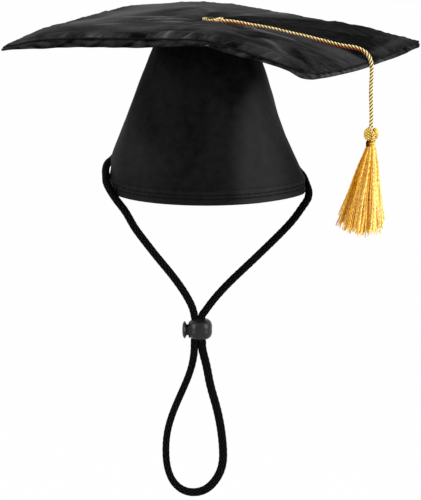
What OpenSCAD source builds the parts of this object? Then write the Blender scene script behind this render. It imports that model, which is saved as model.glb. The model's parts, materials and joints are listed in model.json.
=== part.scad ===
// Pet graduation cap: a soft square mortarboard on a cone-shaped skull cap,
// with a gold tassel over one side and a chin cord gathered by a cord lock.
// Millimetres, +Z up, -Y to the front, origin at the centre of the rim opening.

/* [Board] */
// length of each side of the square board
board_side = 185; // [170:1:200]
// turn of the board on the skull cap, seen from above, clockwise
board_turn = 22.8; // [0:0.1:45]
// sideways offset of the board's centre from the skull cap's axis
board_offset = 5; // [0:0.5:8]
// height of the board's ridge above the rim
board_top_z = 100.5; // [90:0.5:110]
// whole thickness of the padded board, from its top face to its underside
board_thick = 5; // [4:0.1:7]
// thickness of one layer of board satin
board_cloth = 0.7; // [0.5:0.1:1]
// fall of the board per millimetre to the right of its ridge
right_slope = 0.185; // [0.1:0.005:0.25]
// fall of the board per millimetre to the left of its ridge
left_slope = 0.04; // [0:0.005:0.1]
// extra fall of the left corner's tip
tip_drop = 8; // [0:0.5:12]
// extra fall of the back corner
back_drop = 5; // [0:0.5:10]
// rise of the padded middle on the right of the ridge
belly = 2.2; // [0:0.1:4]

/* [Skull cap] */
// outer radius of the rim
rim_r = 57; // [52:0.5:64]
// outer radius of the cone where it meets the board
crown_r = 27.9; // [24:0.1:32]
// thickness of the outer satin
panel_cloth = 1; // [0.8:0.1:1.5]
// thickness of the lining
lining_cloth = 0.7; // [0.5:0.1:1]
// height of the turned-up hem
hem_h = 8; // [6:0.5:10]
// height of the lower row of hem stitches above the rim's edge
lower_row_z = 3.8; // [2:0.1:4]
// height of the upper row of hem stitches above the rim's edge
upper_row_z = 5.9; // [5:0.1:6]

/* [Button] */
// radius of the covered button
button_r = 7.5; // [6.5:0.1:9]
// height of the covered button's dome
button_dome = 2.2; // [2:0.1:4]

/* [Tassel] */
// radius of the twisted tassel cord
tassel_cord_r = 1.1; // [0.8:0.1:1.4]
// distance along the board's side, from its middle, where the cord goes over
tassel_side_shift = 8.3; // [-10:0.1:10]
// length of the cord that hangs free below the board's edge
tassel_drop = 34.3; // [30:0.1:50]
// radius of each of the two lobes of the tassel's head
head_r = 4.1; // [3:0.1:5]
// radius of the tassel's neck band
neck_r = 3.3; // [2.5:0.1:4]
// length of the tassel's skirt
skirt_h = 46; // [35:1:60]
// radius of the skirt at its lower end
skirt_r = 11.5; // [8:0.5:15]
// lean of the skirt towards the skull cap
skirt_lean = 4; // [0:0.5:6]

/* [Chin cord] */
// diameter of the braided chin cord
cord_d = 4.4; // [4.2:0.1:4.6]
// height of the cord holes above the rim
hole_z = 15; // [14:0.5:16]
// angle of the cord holes behind the sides
hole_back = 40; // [39:0.5:41]
// play of the chin cord in its eyelets, all round
eyelet_play = 0.3; // [0.2:0.05:0.5]

/* [Cord lock] */
// radius of the ball-shaped barrel
ball_r = 7.1; // [7:0.1:7.5]
// height of the barrel between its flat ends
ball_h = 12.6; // [12:0.1:13]
// radius of the plunger
plunger_r = 3.6; // [3.5:0.1:3.7]
// travel of the plunger when it is pressed
press_travel = 1.3; // [1:0.1:1.3]

/* [Hidden] */
$fn = 96;
slack = 0.15;
fold = 0.9;
thread_r = 0.25;
board_half = board_side / 2;
board_cells = 16;
crease_soft = 6;
crease_shift = crease_soft / 2 * (right_slope + left_slope);
right_twist = 0.0008;
tip_reach = board_half * 1.255;
belly_start = 40;

function unit(v) = v / norm(v);
function smooth_part(t) = (t + sqrt(t * t + crease_soft * crease_soft)) / 2;
function ease(t) = let (k = max(0, min(1, t))) k * k * (3 - 2 * k);
function fall_right(x, y) = smooth_part(x) * (right_slope - right_twist * y);
function fall_left(x) =
  smooth_part(-x) * left_slope + tip_drop * pow(max(0, -x) / tip_reach, 8);
function fall_back(u, w) =
  back_drop * pow(max(0, -u / board_half), 2) * max(0, w / board_half);
function rise_belly(x, u, w) =
  belly * ease(x / belly_start) * max(0, 1 - pow(u / board_half, 8)) *
  max(0, 1 - pow(w / board_half, 8));
// place in the cap of board coordinates u (along the front edge) and w
function board_x(u, w) = board_offset + u * cos(board_turn) + w * sin(board_turn);
function board_y(u, w) = -u * sin(board_turn) + w * cos(board_turn);
// height of the board's top face at u, w
function top_z(u, w) =
  let (x = board_x(u, w), y = board_y(u, w))
  board_top_z + crease_shift - fall_right(x, y) - fall_left(x) - fall_back(u, w) +
  rise_belly(x, u, w);
function corner_pull(u, w) = 1 - 0.008 * pow(u / board_half, 8) * pow(w / board_half, 8);
function board_point(u, w, depth) =
  let (k = corner_pull(u, w))
  [board_x(k * u, k * w), board_y(k * u, k * w), top_z(k * u, k * w) - depth];
// the same height, found from a place in the cap
function turn_u(x, y) = (x - board_offset) * cos(board_turn) - y * sin(board_turn);
function turn_w(x, y) = (x - board_offset) * sin(board_turn) + y * cos(board_turn);
function top_z_at(x, y) = top_z(turn_u(x, y), turn_w(x, y));

// one soft layer of the board, between two depths below its top face
module board_layer(depth_a, depth_b, inset) {
  n = board_cells;
  row = n + 1;
  reach = board_half - inset;
  steps = [for (i = [0:n]) max(-reach, min(reach, board_half * (2 * i / n - 1)))];
  points = [
    for (depth = [depth_a, depth_b])
      for (w = steps)
        for (u = steps)
          board_point(u, w, depth)
  ];
  under = row * row;
  cells = [for (j = [0:n - 1]) for (i = [0:n - 1]) j * row + i];
  upper = [for (c = cells) each [[c, c + row, c + row + 1], [c, c + row + 1, c + 1]]];
  lower = [for (f = upper) [for (k = [2, 1, 0]) f[k] + under]];
  sides = [
    for (i = [0:n - 1])
      let (f = i, g = i + 1, p = n * row + i + 1, q = n * row + i)
      let (l = (i + 1) * row, m = i * row, r = i * row + n, s = (i + 1) * row + n)
      for (pair = [[f, g], [p, q], [l, m], [r, s]])
        [pair[0], pair[1], pair[1] + under, pair[0] + under]
  ];
  polyhedron(points = points, faces = concat(upper, lower, sides), convexity = 8);
}

// a round cord swept along a list of points; its cross-section has flat sides
function tangents(path) = [
  for (i = [0:len(path) - 1])
    unit(path[min(i + 1, len(path) - 1)] - path[max(i - 1, 0)])
];
function across(t, v) = unit(v - (v * t) * t);
module tube(path, r, sides, start) {
  t = tangents(path);
  last = len(path) - 1;
  n = [
    for (i = 0, v = across(t[0], start); i <= last; i = i + 1, v = across(t[min(i, last)], v))
      v
  ];
  points = [
    for (i = [0:last])
      for (k = [0:sides - 1])
        let (a = 360 * k / sides)
        path[i] + r * (cos(a) * n[i] + sin(a) * cross(t[i], n[i]))
  ];
  walls = [
    for (i = [0:last - 1])
      for (k = [0:sides - 1])
        let (a = i * sides + k, b = i * sides + (k + 1) % sides)
        each [[a, a + sides, b + sides], [a, b + sides, b]]
  ];
  caps = [
    [for (k = [0:sides - 1]) k],
    [for (k = [sides - 1:-1:0]) last * sides + k]
  ];
  polyhedron(points = points, faces = concat(walls, caps), convexity = 8);
}

// ---- board ----

button_x = 7.5;
button_y = 0;
button_z = top_z_at(button_x, button_y);
thread_hole_r = 1.3;

module thread_hole() {
  translate([button_x, button_y, board_top_z - 20])
    cylinder(r = thread_hole_r, h = 30, $fn = 24);
}

module board_top_panel() {
  color([0.10, 0.10, 0.11])
    difference() {
      board_layer(0, board_cloth, 0);
      thread_hole();
    }
}

module board_foam() {
  color([0.85, 0.85, 0.82])
    difference() {
      board_layer(board_cloth, board_thick - board_cloth, board_cloth);
      thread_hole();
    }
}

// the underside's panel wraps up the board's side as far as the seam
module board_bottom_panel() {
  color([0.08, 0.08, 0.09])
    difference() {
      board_layer(board_cloth, board_thick, 0);
      board_layer(0, board_thick - board_cloth, board_cloth);
      thread_hole();
    }
}

// the seam round the board's top edge, as one round bead of thread
seam_r = 0.45;
function seam_side(a) = [
  for (i = [0:15])
    let (k = 2 * i / 16 - 1, e = board_half + seam_r)
    a == 0 ? [k, -1] * e : a == 1 ? [1, k] * e : a == 2 ? [-k, 1] * e : [-1, -k] * e
];
module board_seam() {
  corners = [for (a = [0:3]) each seam_side(a)];
  n = len(corners);
  path = [for (c = corners) board_point(c[0], c[1], board_cloth)];
  ring = 6;
  points = [
    for (i = [0:n - 1])
      let (
        t = unit(path[(i + 1) % n] - path[(i + n - 1) % n]),
        out = unit(cross(t, [0, 0, 1]))
      )
      for (k = [0:ring - 1])
        let (a = 360 * k / ring)
        path[i] + seam_r * (cos(a) * out + sin(a) * cross(t, out))
  ];
  walls = [
    for (i = [0:n - 1])
      for (k = [0:ring - 1])
        let (
          a = i * ring + k,
          b = i * ring + (k + 1) % ring,
          c = ((i + 1) % n) * ring + (k + 1) % ring,
          d = ((i + 1) % n) * ring + k
        )
        each [[a, d, c], [a, c, b]]
  ];
  color([0.05, 0.05, 0.05])
    polyhedron(points = points, faces = walls, convexity = 8);
}

// ---- skull cap ----

crown_gap = 3.2;
crown_z = board_top_z - board_thick - crown_gap;
cone_slope = (rim_r - crown_r) / (crown_z - hem_h);
cone_tilt = atan(cone_slope);
wall_cloth = panel_cloth + lining_cloth;
wall_normal = wall_cloth * cos(cone_tilt);
disc_h = 1;

// a cone-shaped wall between two distances inside the outer surface
module cone_wall(outside, inside, low, high) {
  high_r = rim_r - cone_slope * (high - hem_h);
  rotate_extrude()
    polygon([
      [rim_r - inside, low], [rim_r - outside, low], [rim_r - outside, hem_h],
      [high_r - outside, high], [high_r - inside, high], [rim_r - inside, hem_h]
    ]);
}

// stands at a cord hole, with +Z out of the cone; side is 1 right, -1 left
module at_hole(side) {
  r = rim_r - cone_slope * (hole_z - hem_h);
  turn = side > 0 ? hole_back : 180 - hole_back;
  rotate([0, 0, turn])
    translate([r, 0, hole_z])
      rotate([0, 90 - cone_tilt, 0])
        children();
}

cord_r = cord_d / 2;
eyelet_bore = cord_r + eyelet_play;
eyelet_wall = 0.5;
module cord_holes() {
  for (side = [-1, 1])
    at_hole(side)
      translate([0, 0, -6])
        cylinder(r = eyelet_bore + eyelet_wall + slack, h = 12);
}

module skull_panel() {
  color([0.05, 0.05, 0.055])
    difference() {
      cone_wall(0, panel_cloth, fold, crown_z);
      cord_holes();
    }
}

module skull_lining() {
  top_r = crown_r + cone_slope * (disc_h + lining_cloth) - wall_cloth;
  color([0.12, 0.12, 0.12])
    difference() {
      union() {
        cone_wall(panel_cloth, wall_cloth, fold + 3, crown_z - disc_h);
        translate([0, 0, crown_z - disc_h - lining_cloth])
          cylinder(r = top_r, h = lining_cloth);
      }
      cord_holes();
      thread_hole();
    }
}

// the rim's edge turned up inside, over the lining's end
module skull_hem() {
  inner = rim_r - wall_cloth - fold;
  color([0.05, 0.05, 0.055])
    rotate_extrude()
      polygon([
        [inner, 0.4], [inner + 0.4, 0], [rim_r - 0.4, 0], [rim_r, 0.4], [rim_r, fold],
        [inner + fold, fold], [inner + fold, hem_h], [inner, hem_h]
      ]);
}

module stitch_row(z) {
  color([0.03, 0.03, 0.03])
    rotate_extrude()
      translate([rim_r + thread_r, z])
        circle(r = thread_r, $fn = 16);
}

module hem_stitch_lower() {
  stitch_row(lower_row_z);
}

module hem_stitch_upper() {
  stitch_row(upper_row_z);
}

// the joining seam down the back of the cone, felled flat outside
module skull_back_seam() {
  seam_w = 5;
  seam_t = 0.5;
  color([0.05, 0.05, 0.055])
    intersection() {
      cone_wall(-seam_t, 0, hem_h, crown_z - 3);
      translate([-seam_w / 2, 0, 0])
        cube([seam_w, 2 * rim_r, board_top_z]);
    }
}

module crown_disc() {
  r = crown_r - panel_cloth;
  color([0.35, 0.33, 0.30])
    difference() {
      translate([0, 0, crown_z - disc_h])
        cylinder(r = r, h = disc_h);
      thread_hole();
    }
}

// the cone's top edge turned in and sewn to the board: flat below, and above
// shaped to the underside of the board
module crown_seam() {
  n = 32;
  r_in = crown_r - 9;
  spots = [[r_in, 1], [crown_r, 1], [crown_r, 0], [r_in, 0]];
  points = [
    for (i = [0:n - 1])
      for (s = spots)
        let (x = s[0] * cos(360 * i / n), y = s[0] * sin(360 * i / n))
        [x, y, s[1] == 1 ? top_z_at(x, y) - board_thick - slack : crown_z]
  ];
  faces = [
    for (i = [0:n - 1])
      for (k = [0:3])
        let (a = 4 * i + k, b = 4 * i + (k + 1) % 4, j = 4 * ((i + 1) % n))
        each [[a, j + k, j + (k + 1) % 4], [a, j + (k + 1) % 4, b]]
  ];
  color([0.06, 0.06, 0.06])
    polyhedron(points = points, faces = faces, convexity = 8);
}

// ---- button ----

cord_gap = 0.25;
lift = tassel_cord_r + cord_gap;
// the button lies level, and clears the cord where the board is highest under it
button_seat = top_z_at(button_x - button_r, button_y);
button_base = button_seat + lift + tassel_cord_r + slack;
back_h = 0.5;
shell_t = 0.4;
cover_t = 0.35;
shell_r = button_r - cover_t;
shell_dome = button_dome - cover_t;

module at_button(z) {
  translate([button_x, button_y, z])
    children();
}

// a low dome with a flat base, and its radius at a height above the base
function dome_ball(r, h) = (r * r + h * h) / (2 * h);
function dome_r_at(r, h, z) =
  sqrt(pow(dome_ball(r, h), 2) - pow(z - h + dome_ball(r, h), 2));
module dome(r, h) {
  intersection() {
    translate([0, 0, h - dome_ball(r, h)])
      sphere(r = dome_ball(r, h));
    cylinder(r = r, h = h);
  }
}

module button_cover() {
  color([0.07, 0.07, 0.075])
    at_button(button_base)
      difference() {
        dome(button_r, button_dome);
        dome(shell_r, shell_dome);
      }
}

module button_shell() {
  color([0.6, 0.6, 0.6])
    at_button(button_base)
      difference() {
        dome(shell_r, shell_dome);
        dome(shell_r - shell_t, shell_dome - shell_t);
      }
}

// a flat disc with a hollow shank that stands on the board
module button_back() {
  disc_r = dome_r_at(shell_r - shell_t, shell_dome - shell_t, back_h) - slack;
  shank_h = button_base - button_z;
  shank_r = thread_hole_r + 0.7;
  color([0.5, 0.5, 0.5])
    at_button(button_z)
      difference() {
        union() {
          translate([0, 0, shank_h])
            cylinder(r = disc_r, h = back_h);
          translate([0, 0, slack])
            cylinder(r = shank_r, h = shank_h);
        }
        cylinder(r = thread_hole_r, h = shank_h);
      }
}

// the thread that holds the button down through the board and the crown disc
module button_thread() {
  low = crown_z - disc_h - lining_cloth;
  color([0.04, 0.04, 0.04])
    at_button(low)
      cylinder(r = thread_hole_r - 0.3, h = button_base - low);
}

module button_thread_knot() {
  knot_r = 2;
  color([0.04, 0.04, 0.04])
    at_button(crown_z - disc_h - lining_cloth - knot_r)
      sphere(r = knot_r);
}

// ---- tassel ----

lip_w = tassel_side_shift;
knot_u = 10.2;
knot_w = -3.7;
knot_r = 2.1;
edge_dir = [sin(board_turn), cos(board_turn), 0];
out_dir = [cos(board_turn), -sin(board_turn), 0];
lip = board_point(board_half, lip_w, 0);
hang = lip + 2 * out_dir;
swing_z = lip[2] - board_thick;
swing_gap = tassel_cord_r + 0.05;

// the doubled end of the cord, from the knot round the button's shank and back
module tassel_loop() {
  bend = [
    [4.6, -7.9], [1.5, -7.4], [-2.5, -6.4], [-6.3, -5], [-9, -3.3], [-10.3, -1.1],
    [-9.7, 1.1], [-7, 2.6], [-3, 3.5], [0.6, 3.7], [3.6, 2.7], [5.3, 0.3], [5.8, -2.5],
    [5.6, -5.2]
  ];
  route = [
    for (p = bend)
      let (x = button_x + p[0], y = button_y + p[1])
      [x, y, top_z_at(x, y) + lift]
  ];
  color([0.85, 0.62, 0.20])
    tube(route, tassel_cord_r, 8, [0, 0, 1]);
}

module tassel_loop_knot() {
  color([0.85, 0.62, 0.20])
    translate(board_point(knot_u, knot_w, -knot_r))
      sphere(r = knot_r);
}

// lies on the board from the knot to the edge, and bends over the edge
module tassel_cord_top() {
  run = [
    for (i = [0:9])
      let (k = i / 10)
      board_point(knot_u + (board_half - knot_u) * k, knot_w + (lip_w - knot_w) * k, -lift)
  ];
  bend = [
    lip - 1.2 * out_dir + [0, 0, 2.4],
    lip + 0.9 * out_dir + [0, 0, 1.4],
    lip + 1.8 * out_dir + [0, 0, -0.8],
    [hang[0], hang[1], swing_z + swing_gap]
  ];
  color([0.85, 0.62, 0.20])
    tube(concat(run, bend), tassel_cord_r, 8, [0, 0, 1]);
}

// hangs between its two swing points, with a round end at each
module tassel_cord_drop() {
  end_cut = 0.2;
  color([0.85, 0.62, 0.20])
    translate([hang[0], hang[1], swing_z - tassel_drop]) {
      for (z = [0, tassel_drop])
        translate([0, 0, z])
          sphere(r = tassel_cord_r, $fn = 32);
      translate([0, 0, end_cut])
        cylinder(r = tassel_cord_r, h = tassel_drop - 2 * end_cut, $fn = 32);
    }
}

head_z = swing_z - tassel_drop - swing_gap - head_r;
lobe = 0.6;
neck_z = head_z - head_r + 0.3;
neck_h = 3.5;

module tassel_head() {
  color([0.90, 0.66, 0.18])
    for (side = [-1, 1])
      translate([hang[0] + side * lobe, hang[1], head_z])
        rotate([0, 90, 0])
          sphere(r = head_r);
}

module tassel_neck_band() {
  color([0.80, 0.55, 0.12])
    translate([hang[0], hang[1], neck_z - neck_h])
      cylinder(r = neck_r, h = neck_h);
}

module tassel_skirt() {
  tip_h = 8;
  color([0.90, 0.66, 0.18])
    translate([hang[0], hang[1], neck_z - neck_h])
      rotate([0, 180, -board_turn])
        rotate([0, skirt_lean, 0]) {
          cylinder(r1 = neck_r - 0.3, r2 = skirt_r, h = skirt_h - tip_h);
          translate([0, 0, skirt_h - tip_h])
            cylinder(r1 = skirt_r, r2 = skirt_r - 3, h = tip_h);
        }
}

// ---- chin cord ----

hole_r = rim_r - cone_slope * (hole_z - hem_h);
inner_flange = wall_normal + 0.25;
flange_t = 0.5;
cord_knot_r = cord_r + 1.8;
knot_back = inner_flange + flange_t + sqrt(pow(cord_knot_r, 2) - pow(eyelet_bore, 2));
// a point on a hole's axis, at a distance out of the cone
function hole_point(side, out) =
  let (level = hole_r + out * cos(cone_tilt))
  [side * level * cos(hole_back), level * sin(hole_back), hole_z + out * sin(cone_tilt)];

lock_x = -3.5;
lock_y = -8;
lock_z = -82.8;
cord_stub = 1;
straight = 1.2;
lock_top = lock_z + ball_h / 2 + cord_stub;
lock_low = lock_z - ball_h / 2 - cord_stub;
// the two runs of cord enter the lock side by side
cord_mid = lock_x - 1.2;
cord_pitch = cord_d + 0.1;
cord_left = cord_mid - cord_pitch / 2;
cord_right = cord_mid + cord_pitch / 2;

left_route = [
  hole_point(-1, -knot_back), hole_point(-1, -0.5), hole_point(-1, 2.5),
  [-46.1, 37.9, 16.4], [-49.5, 38, 16.4], [-52.4, 36.2, 15.9], [-54.2, 33, 15.1],
  [-55.7, 28, 14], [-57.1, 21.5, 13.6], [-58.3, 14.5, 13.4], [-59.1, 7.5, 12.2],
  [-59.2, 0.5, 10.6], [-58.8, -6.7, 9], [-58.3, -14, 6.9], [-56.5, -20.8, 4.2],
  [-54, -25.8, 1.1], [-51.1, -28, -2.6], [-47.4, -28, -7.5], [-42.5, -26, -16.5],
  [-36.1, -23, -26.3], [-28.7, -20, -36.6], [-21.3, -17, -46.4], [-14.3, -14, -56.7],
  [-9.8, -11, -65], [-7.7, -8.9, -70.6], [cord_left, lock_y, lock_top + straight],
  [cord_left, lock_y, lock_top]
];
right_route = [
  hole_point(1, -knot_back), hole_point(1, -0.5), hole_point(1, 2.5),
  [46, 37.8, 16], [48.6, 37.6, 15.3], [50.7, 35.8, 14.2], [51.9, 32.4, 12.6],
  [53, 28, 10.6], [54.5, 23.6, 8.2], [56.9, 19, 6], [58.5, 14.2, 3.7],
  [59.7, 9.3, 1], [60.7, 4.8, -2.3], [59.9, 1.6, -6], [57.6, -0.6, -9.2],
  [52.8, -2.6, -15.7], [44.4, -4, -25], [34.6, -5, -34.6], [24.8, -5.8, -44],
  [14.9, -6.6, -53.4], [6.3, -7.2, -62.6], [1.6, -7.7, -68.5], [-1.1, -8, -72.2],
  [cord_right, lock_y, lock_top + straight], [cord_right, lock_y, lock_top]
];
loop_route = [
  [cord_left, lock_y, lock_low], [cord_left, lock_y, lock_low - straight],
  [-7.3, -8, -98], [-9.2, -8, -107], [-14, -8, -119.5],
  [-20, -8, -134], [-23.2, -8, -146], [-24, -8, -157], [-22.5, -8, -169],
  [-18.7, -8, -176.7], [-13.5, -8, -180.9], [-7.5, -8, -182.2], [-0.5, -8, -180.4],
  [5.3, -8, -175], [9.3, -8, -166.5], [10, -8, -155], [8.6, -8, -142],
  [5.9, -8, -129], [2.4, -8, -116], [-0.3, -8, -102.5],
  [cord_right, lock_y, lock_low - straight], [cord_right, lock_y, lock_low]
];

module braid(route) {
  color([0.05, 0.05, 0.05])
    tube(route, cord_r, 8, [0, 1, 0]);
}

module chin_cord_left() {
  braid(left_route);
}

module chin_cord_right() {
  braid(right_route);
}

module chin_cord_loop() {
  braid(loop_route);
}

// the stopper knot inside the cap, with the cord's short tail
module cord_knot(side) {
  color([0.05, 0.05, 0.05])
    at_hole(side)
      translate([0, 0, -knot_back]) {
        sphere(r = cord_knot_r);
        rotate([0, -100, 0])
          cylinder(r = cord_r, h = 10);
      }
}

module cord_knot_left() {
  cord_knot(-1);
}

module cord_knot_right() {
  cord_knot(1);
}

module eyelet(side) {
  flange_r = eyelet_bore + 2.2;
  bottom = -inner_flange - flange_t;
  color([0.10, 0.10, 0.10])
    at_hole(side)
      rotate_extrude()
        polygon([
          [eyelet_bore, bottom], [flange_r, bottom], [flange_r, -inner_flange],
          [eyelet_bore + eyelet_wall, -inner_flange], [eyelet_bore + eyelet_wall, 0],
          [flange_r, 0], [flange_r, 0.2], [flange_r - 0.6, flange_t], [eyelet_bore, flange_t]
        ]);
}

module cord_eyelet_left() {
  eyelet(-1);
}

module cord_eyelet_right() {
  eyelet(1);
}

// ---- cord lock ----

nip_w = 3.05;
slot_r = cord_r + slack;
nip_left = cord_mid - lock_x - nip_w - slack;
nip_right = nip_left + 2 * nip_w + 3 * slack;
bore_r = plunger_r + slack;
bore_end = ball_r - 2.5;
pocket_r = 2.9;
pocket_end = ball_r - 0.9;
plunger_end = nip_right + 0.9;
head_face = -ball_r - press_travel - slack;
plunger_head_r = 5.15;
plunger_head_t = 2.1;

module at_lock() {
  translate([lock_x, lock_y, lock_z])
    children();
}

// a slot with round ends, right through from top to bottom
module cord_slot(left, right) {
  translate([left + slot_r, -slot_r, -ball_r])
    cube([right - left - 2 * slot_r, 2 * slot_r, 2 * ball_r]);
  for (x = [left + slot_r, right - slot_r])
    translate([x, 0, -ball_r])
      cylinder(r = slot_r, h = 2 * ball_r);
}

// a point on the barrel's outline, which is fuller than a ball's
function barrel_point(a) =
  [ball_r * pow(cos(a), 0.6), ball_h / 2 * sign(a) * pow(abs(sin(a)), 0.6)];

module lock_barrel() {
  collar_r = 4.9;
  color([0.12, 0.12, 0.13])
    at_lock()
      difference() {
        union() {
          rotate_extrude()
            polygon([for (a = [-90:7.5:90]) barrel_point(a)]);
          translate([-ball_r, 0, 0])
            rotate([0, 90, 0])
              cylinder(r = collar_r, h = 3);
        }
        translate([-ball_r - 1, 0, 0])
          rotate([0, 90, 0])
            cylinder(r = bore_r, h = ball_r + 1 + bore_end);
        rotate([0, 90, 0])
          cylinder(r = pocket_r, h = pocket_end);
        cord_slot(nip_left, nip_right + press_travel);
      }
}

module lock_plunger() {
  color([0.12, 0.12, 0.13])
    at_lock()
      difference() {
        union() {
          translate([head_face - slack, 0, 0])
            rotate([0, 90, 0])
              cylinder(r = plunger_r, h = plunger_end - head_face + slack);
          translate([head_face - plunger_head_t, 0, 0])
            rotate([0, 90, 0]) {
              cylinder(r1 = plunger_head_r - 0.6, r2 = plunger_head_r, h = 0.6);
              translate([0, 0, 0.6])
                cylinder(r1 = plunger_head_r, r2 = plunger_r + 0.2, h = plunger_head_t - 0.6);
            }
        }
        cord_slot(nip_left - press_travel - 0.1, nip_right);
      }
}

// compression spring between the plunger's end and the barrel's closed end
module lock_spring() {
  wire_r = 0.2;
  coil_r = 2.4;
  turns = 3;
  steps = 12 * turns;
  low = plunger_end + wire_r + 0.05;
  high = pocket_end - wire_r - 0.05;
  color([0.7, 0.7, 0.72])
    at_lock()
      tube(
        [
          for (i = [0:steps])
            let (a = 360 * turns * i / steps)
            [low + (high - low) * i / steps, coil_r * cos(a), coil_r * sin(a)]
        ],
        wire_r, 6, [0, 1, 0]
      );
}

// the two runs of cord inside the lock, squeezed to ovals
module cord_nip() {
  nip_d = cord_d - 2 * slack;
  nip_h = ball_h + 2 * (cord_stub - 0.05);
  color([0.05, 0.05, 0.05])
    at_lock()
      for (x = [nip_left + slack + nip_w / 2, nip_right - slack - nip_w / 2])
        translate([x, 0, -nip_h / 2])
          scale([nip_w / nip_d, 1, 1])
            cylinder(d = nip_d, h = nip_h, $fn = 12);
}

board_top_panel();
board_foam();
board_bottom_panel();
board_seam();
skull_panel();
skull_lining();
skull_hem();
hem_stitch_lower();
hem_stitch_upper();
skull_back_seam();
crown_disc();
crown_seam();
button_cover();
button_shell();
button_back();
button_thread();
button_thread_knot();
tassel_loop();
tassel_loop_knot();
tassel_cord_top();
tassel_cord_drop();
tassel_head();
tassel_neck_band();
tassel_skirt();
chin_cord_left();
chin_cord_right();
chin_cord_loop();
cord_knot_left();
cord_knot_right();
cord_eyelet_left();
cord_eyelet_right();
lock_barrel();
lock_plunger();
lock_spring();
cord_nip();
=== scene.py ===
import json
import math

import bpy
import numpy as np
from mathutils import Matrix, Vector
from mathutils.kdtree import KDTree


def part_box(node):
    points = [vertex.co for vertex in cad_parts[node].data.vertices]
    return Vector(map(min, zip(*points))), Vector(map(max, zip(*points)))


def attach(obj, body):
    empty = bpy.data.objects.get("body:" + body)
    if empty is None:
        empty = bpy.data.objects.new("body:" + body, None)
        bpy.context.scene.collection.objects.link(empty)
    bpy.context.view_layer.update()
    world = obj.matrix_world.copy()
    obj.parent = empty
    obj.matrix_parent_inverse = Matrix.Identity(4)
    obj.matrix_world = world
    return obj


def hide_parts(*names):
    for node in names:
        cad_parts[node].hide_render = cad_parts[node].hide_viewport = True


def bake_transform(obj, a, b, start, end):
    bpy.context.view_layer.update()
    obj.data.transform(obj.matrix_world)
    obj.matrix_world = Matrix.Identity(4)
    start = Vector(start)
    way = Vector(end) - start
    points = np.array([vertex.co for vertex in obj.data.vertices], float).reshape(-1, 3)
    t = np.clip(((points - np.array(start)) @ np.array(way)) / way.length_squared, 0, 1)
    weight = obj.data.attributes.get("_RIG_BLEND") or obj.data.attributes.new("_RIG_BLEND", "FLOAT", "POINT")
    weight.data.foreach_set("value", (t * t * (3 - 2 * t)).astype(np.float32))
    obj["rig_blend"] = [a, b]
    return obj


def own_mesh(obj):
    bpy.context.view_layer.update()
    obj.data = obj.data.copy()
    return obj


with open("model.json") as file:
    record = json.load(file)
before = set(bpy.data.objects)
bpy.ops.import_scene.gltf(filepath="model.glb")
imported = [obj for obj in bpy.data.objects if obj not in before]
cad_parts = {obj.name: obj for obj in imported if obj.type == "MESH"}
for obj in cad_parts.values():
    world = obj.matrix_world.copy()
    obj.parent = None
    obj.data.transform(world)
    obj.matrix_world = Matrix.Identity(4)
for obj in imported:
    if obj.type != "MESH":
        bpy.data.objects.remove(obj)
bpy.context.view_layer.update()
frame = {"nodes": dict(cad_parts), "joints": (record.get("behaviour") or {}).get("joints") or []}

MM = 0.001

# ---- Studio ----
# The cap hangs as if worn, over a white floor far below it. Soft lamps stand
# overhead and at both sides, and the view is from the front, a little above.

VIEW_CENTRE = Vector((0.0026, 0.0, -0.0363))
VIEW_TILT = math.radians(10.7)
VIEW_DISTANCE = 1.8
VIEW_LENS = 219.0
FLOOR_DROP = 0.6
FLOOR_SIDE = 30.0


def only(*objects):
    """Deselects everything else, and makes the last of these the active one."""
    bpy.ops.object.select_all(action="DESELECT")
    for item in objects:
        item.select_set(True)
    bpy.context.view_layer.objects.active = objects[-1]


class Wire:
    """A value on its way through a finish. Arithmetic on it adds Math nodes."""

    def __init__(self, finish, socket):
        self.finish = finish
        self.socket = socket

    def __add__(self, other):
        return self.finish.maths("ADD", self, other)

    def __sub__(self, other):
        return self.finish.maths("SUBTRACT", self, other)

    def __rsub__(self, other):
        return self.finish.maths("SUBTRACT", other, self)

    def __mul__(self, other):
        return self.finish.maths("MULTIPLY", self, other)

    def __pow__(self, other):
        return self.finish.maths("POWER", self, other)

    __radd__ = __add__
    __rmul__ = __mul__


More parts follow.
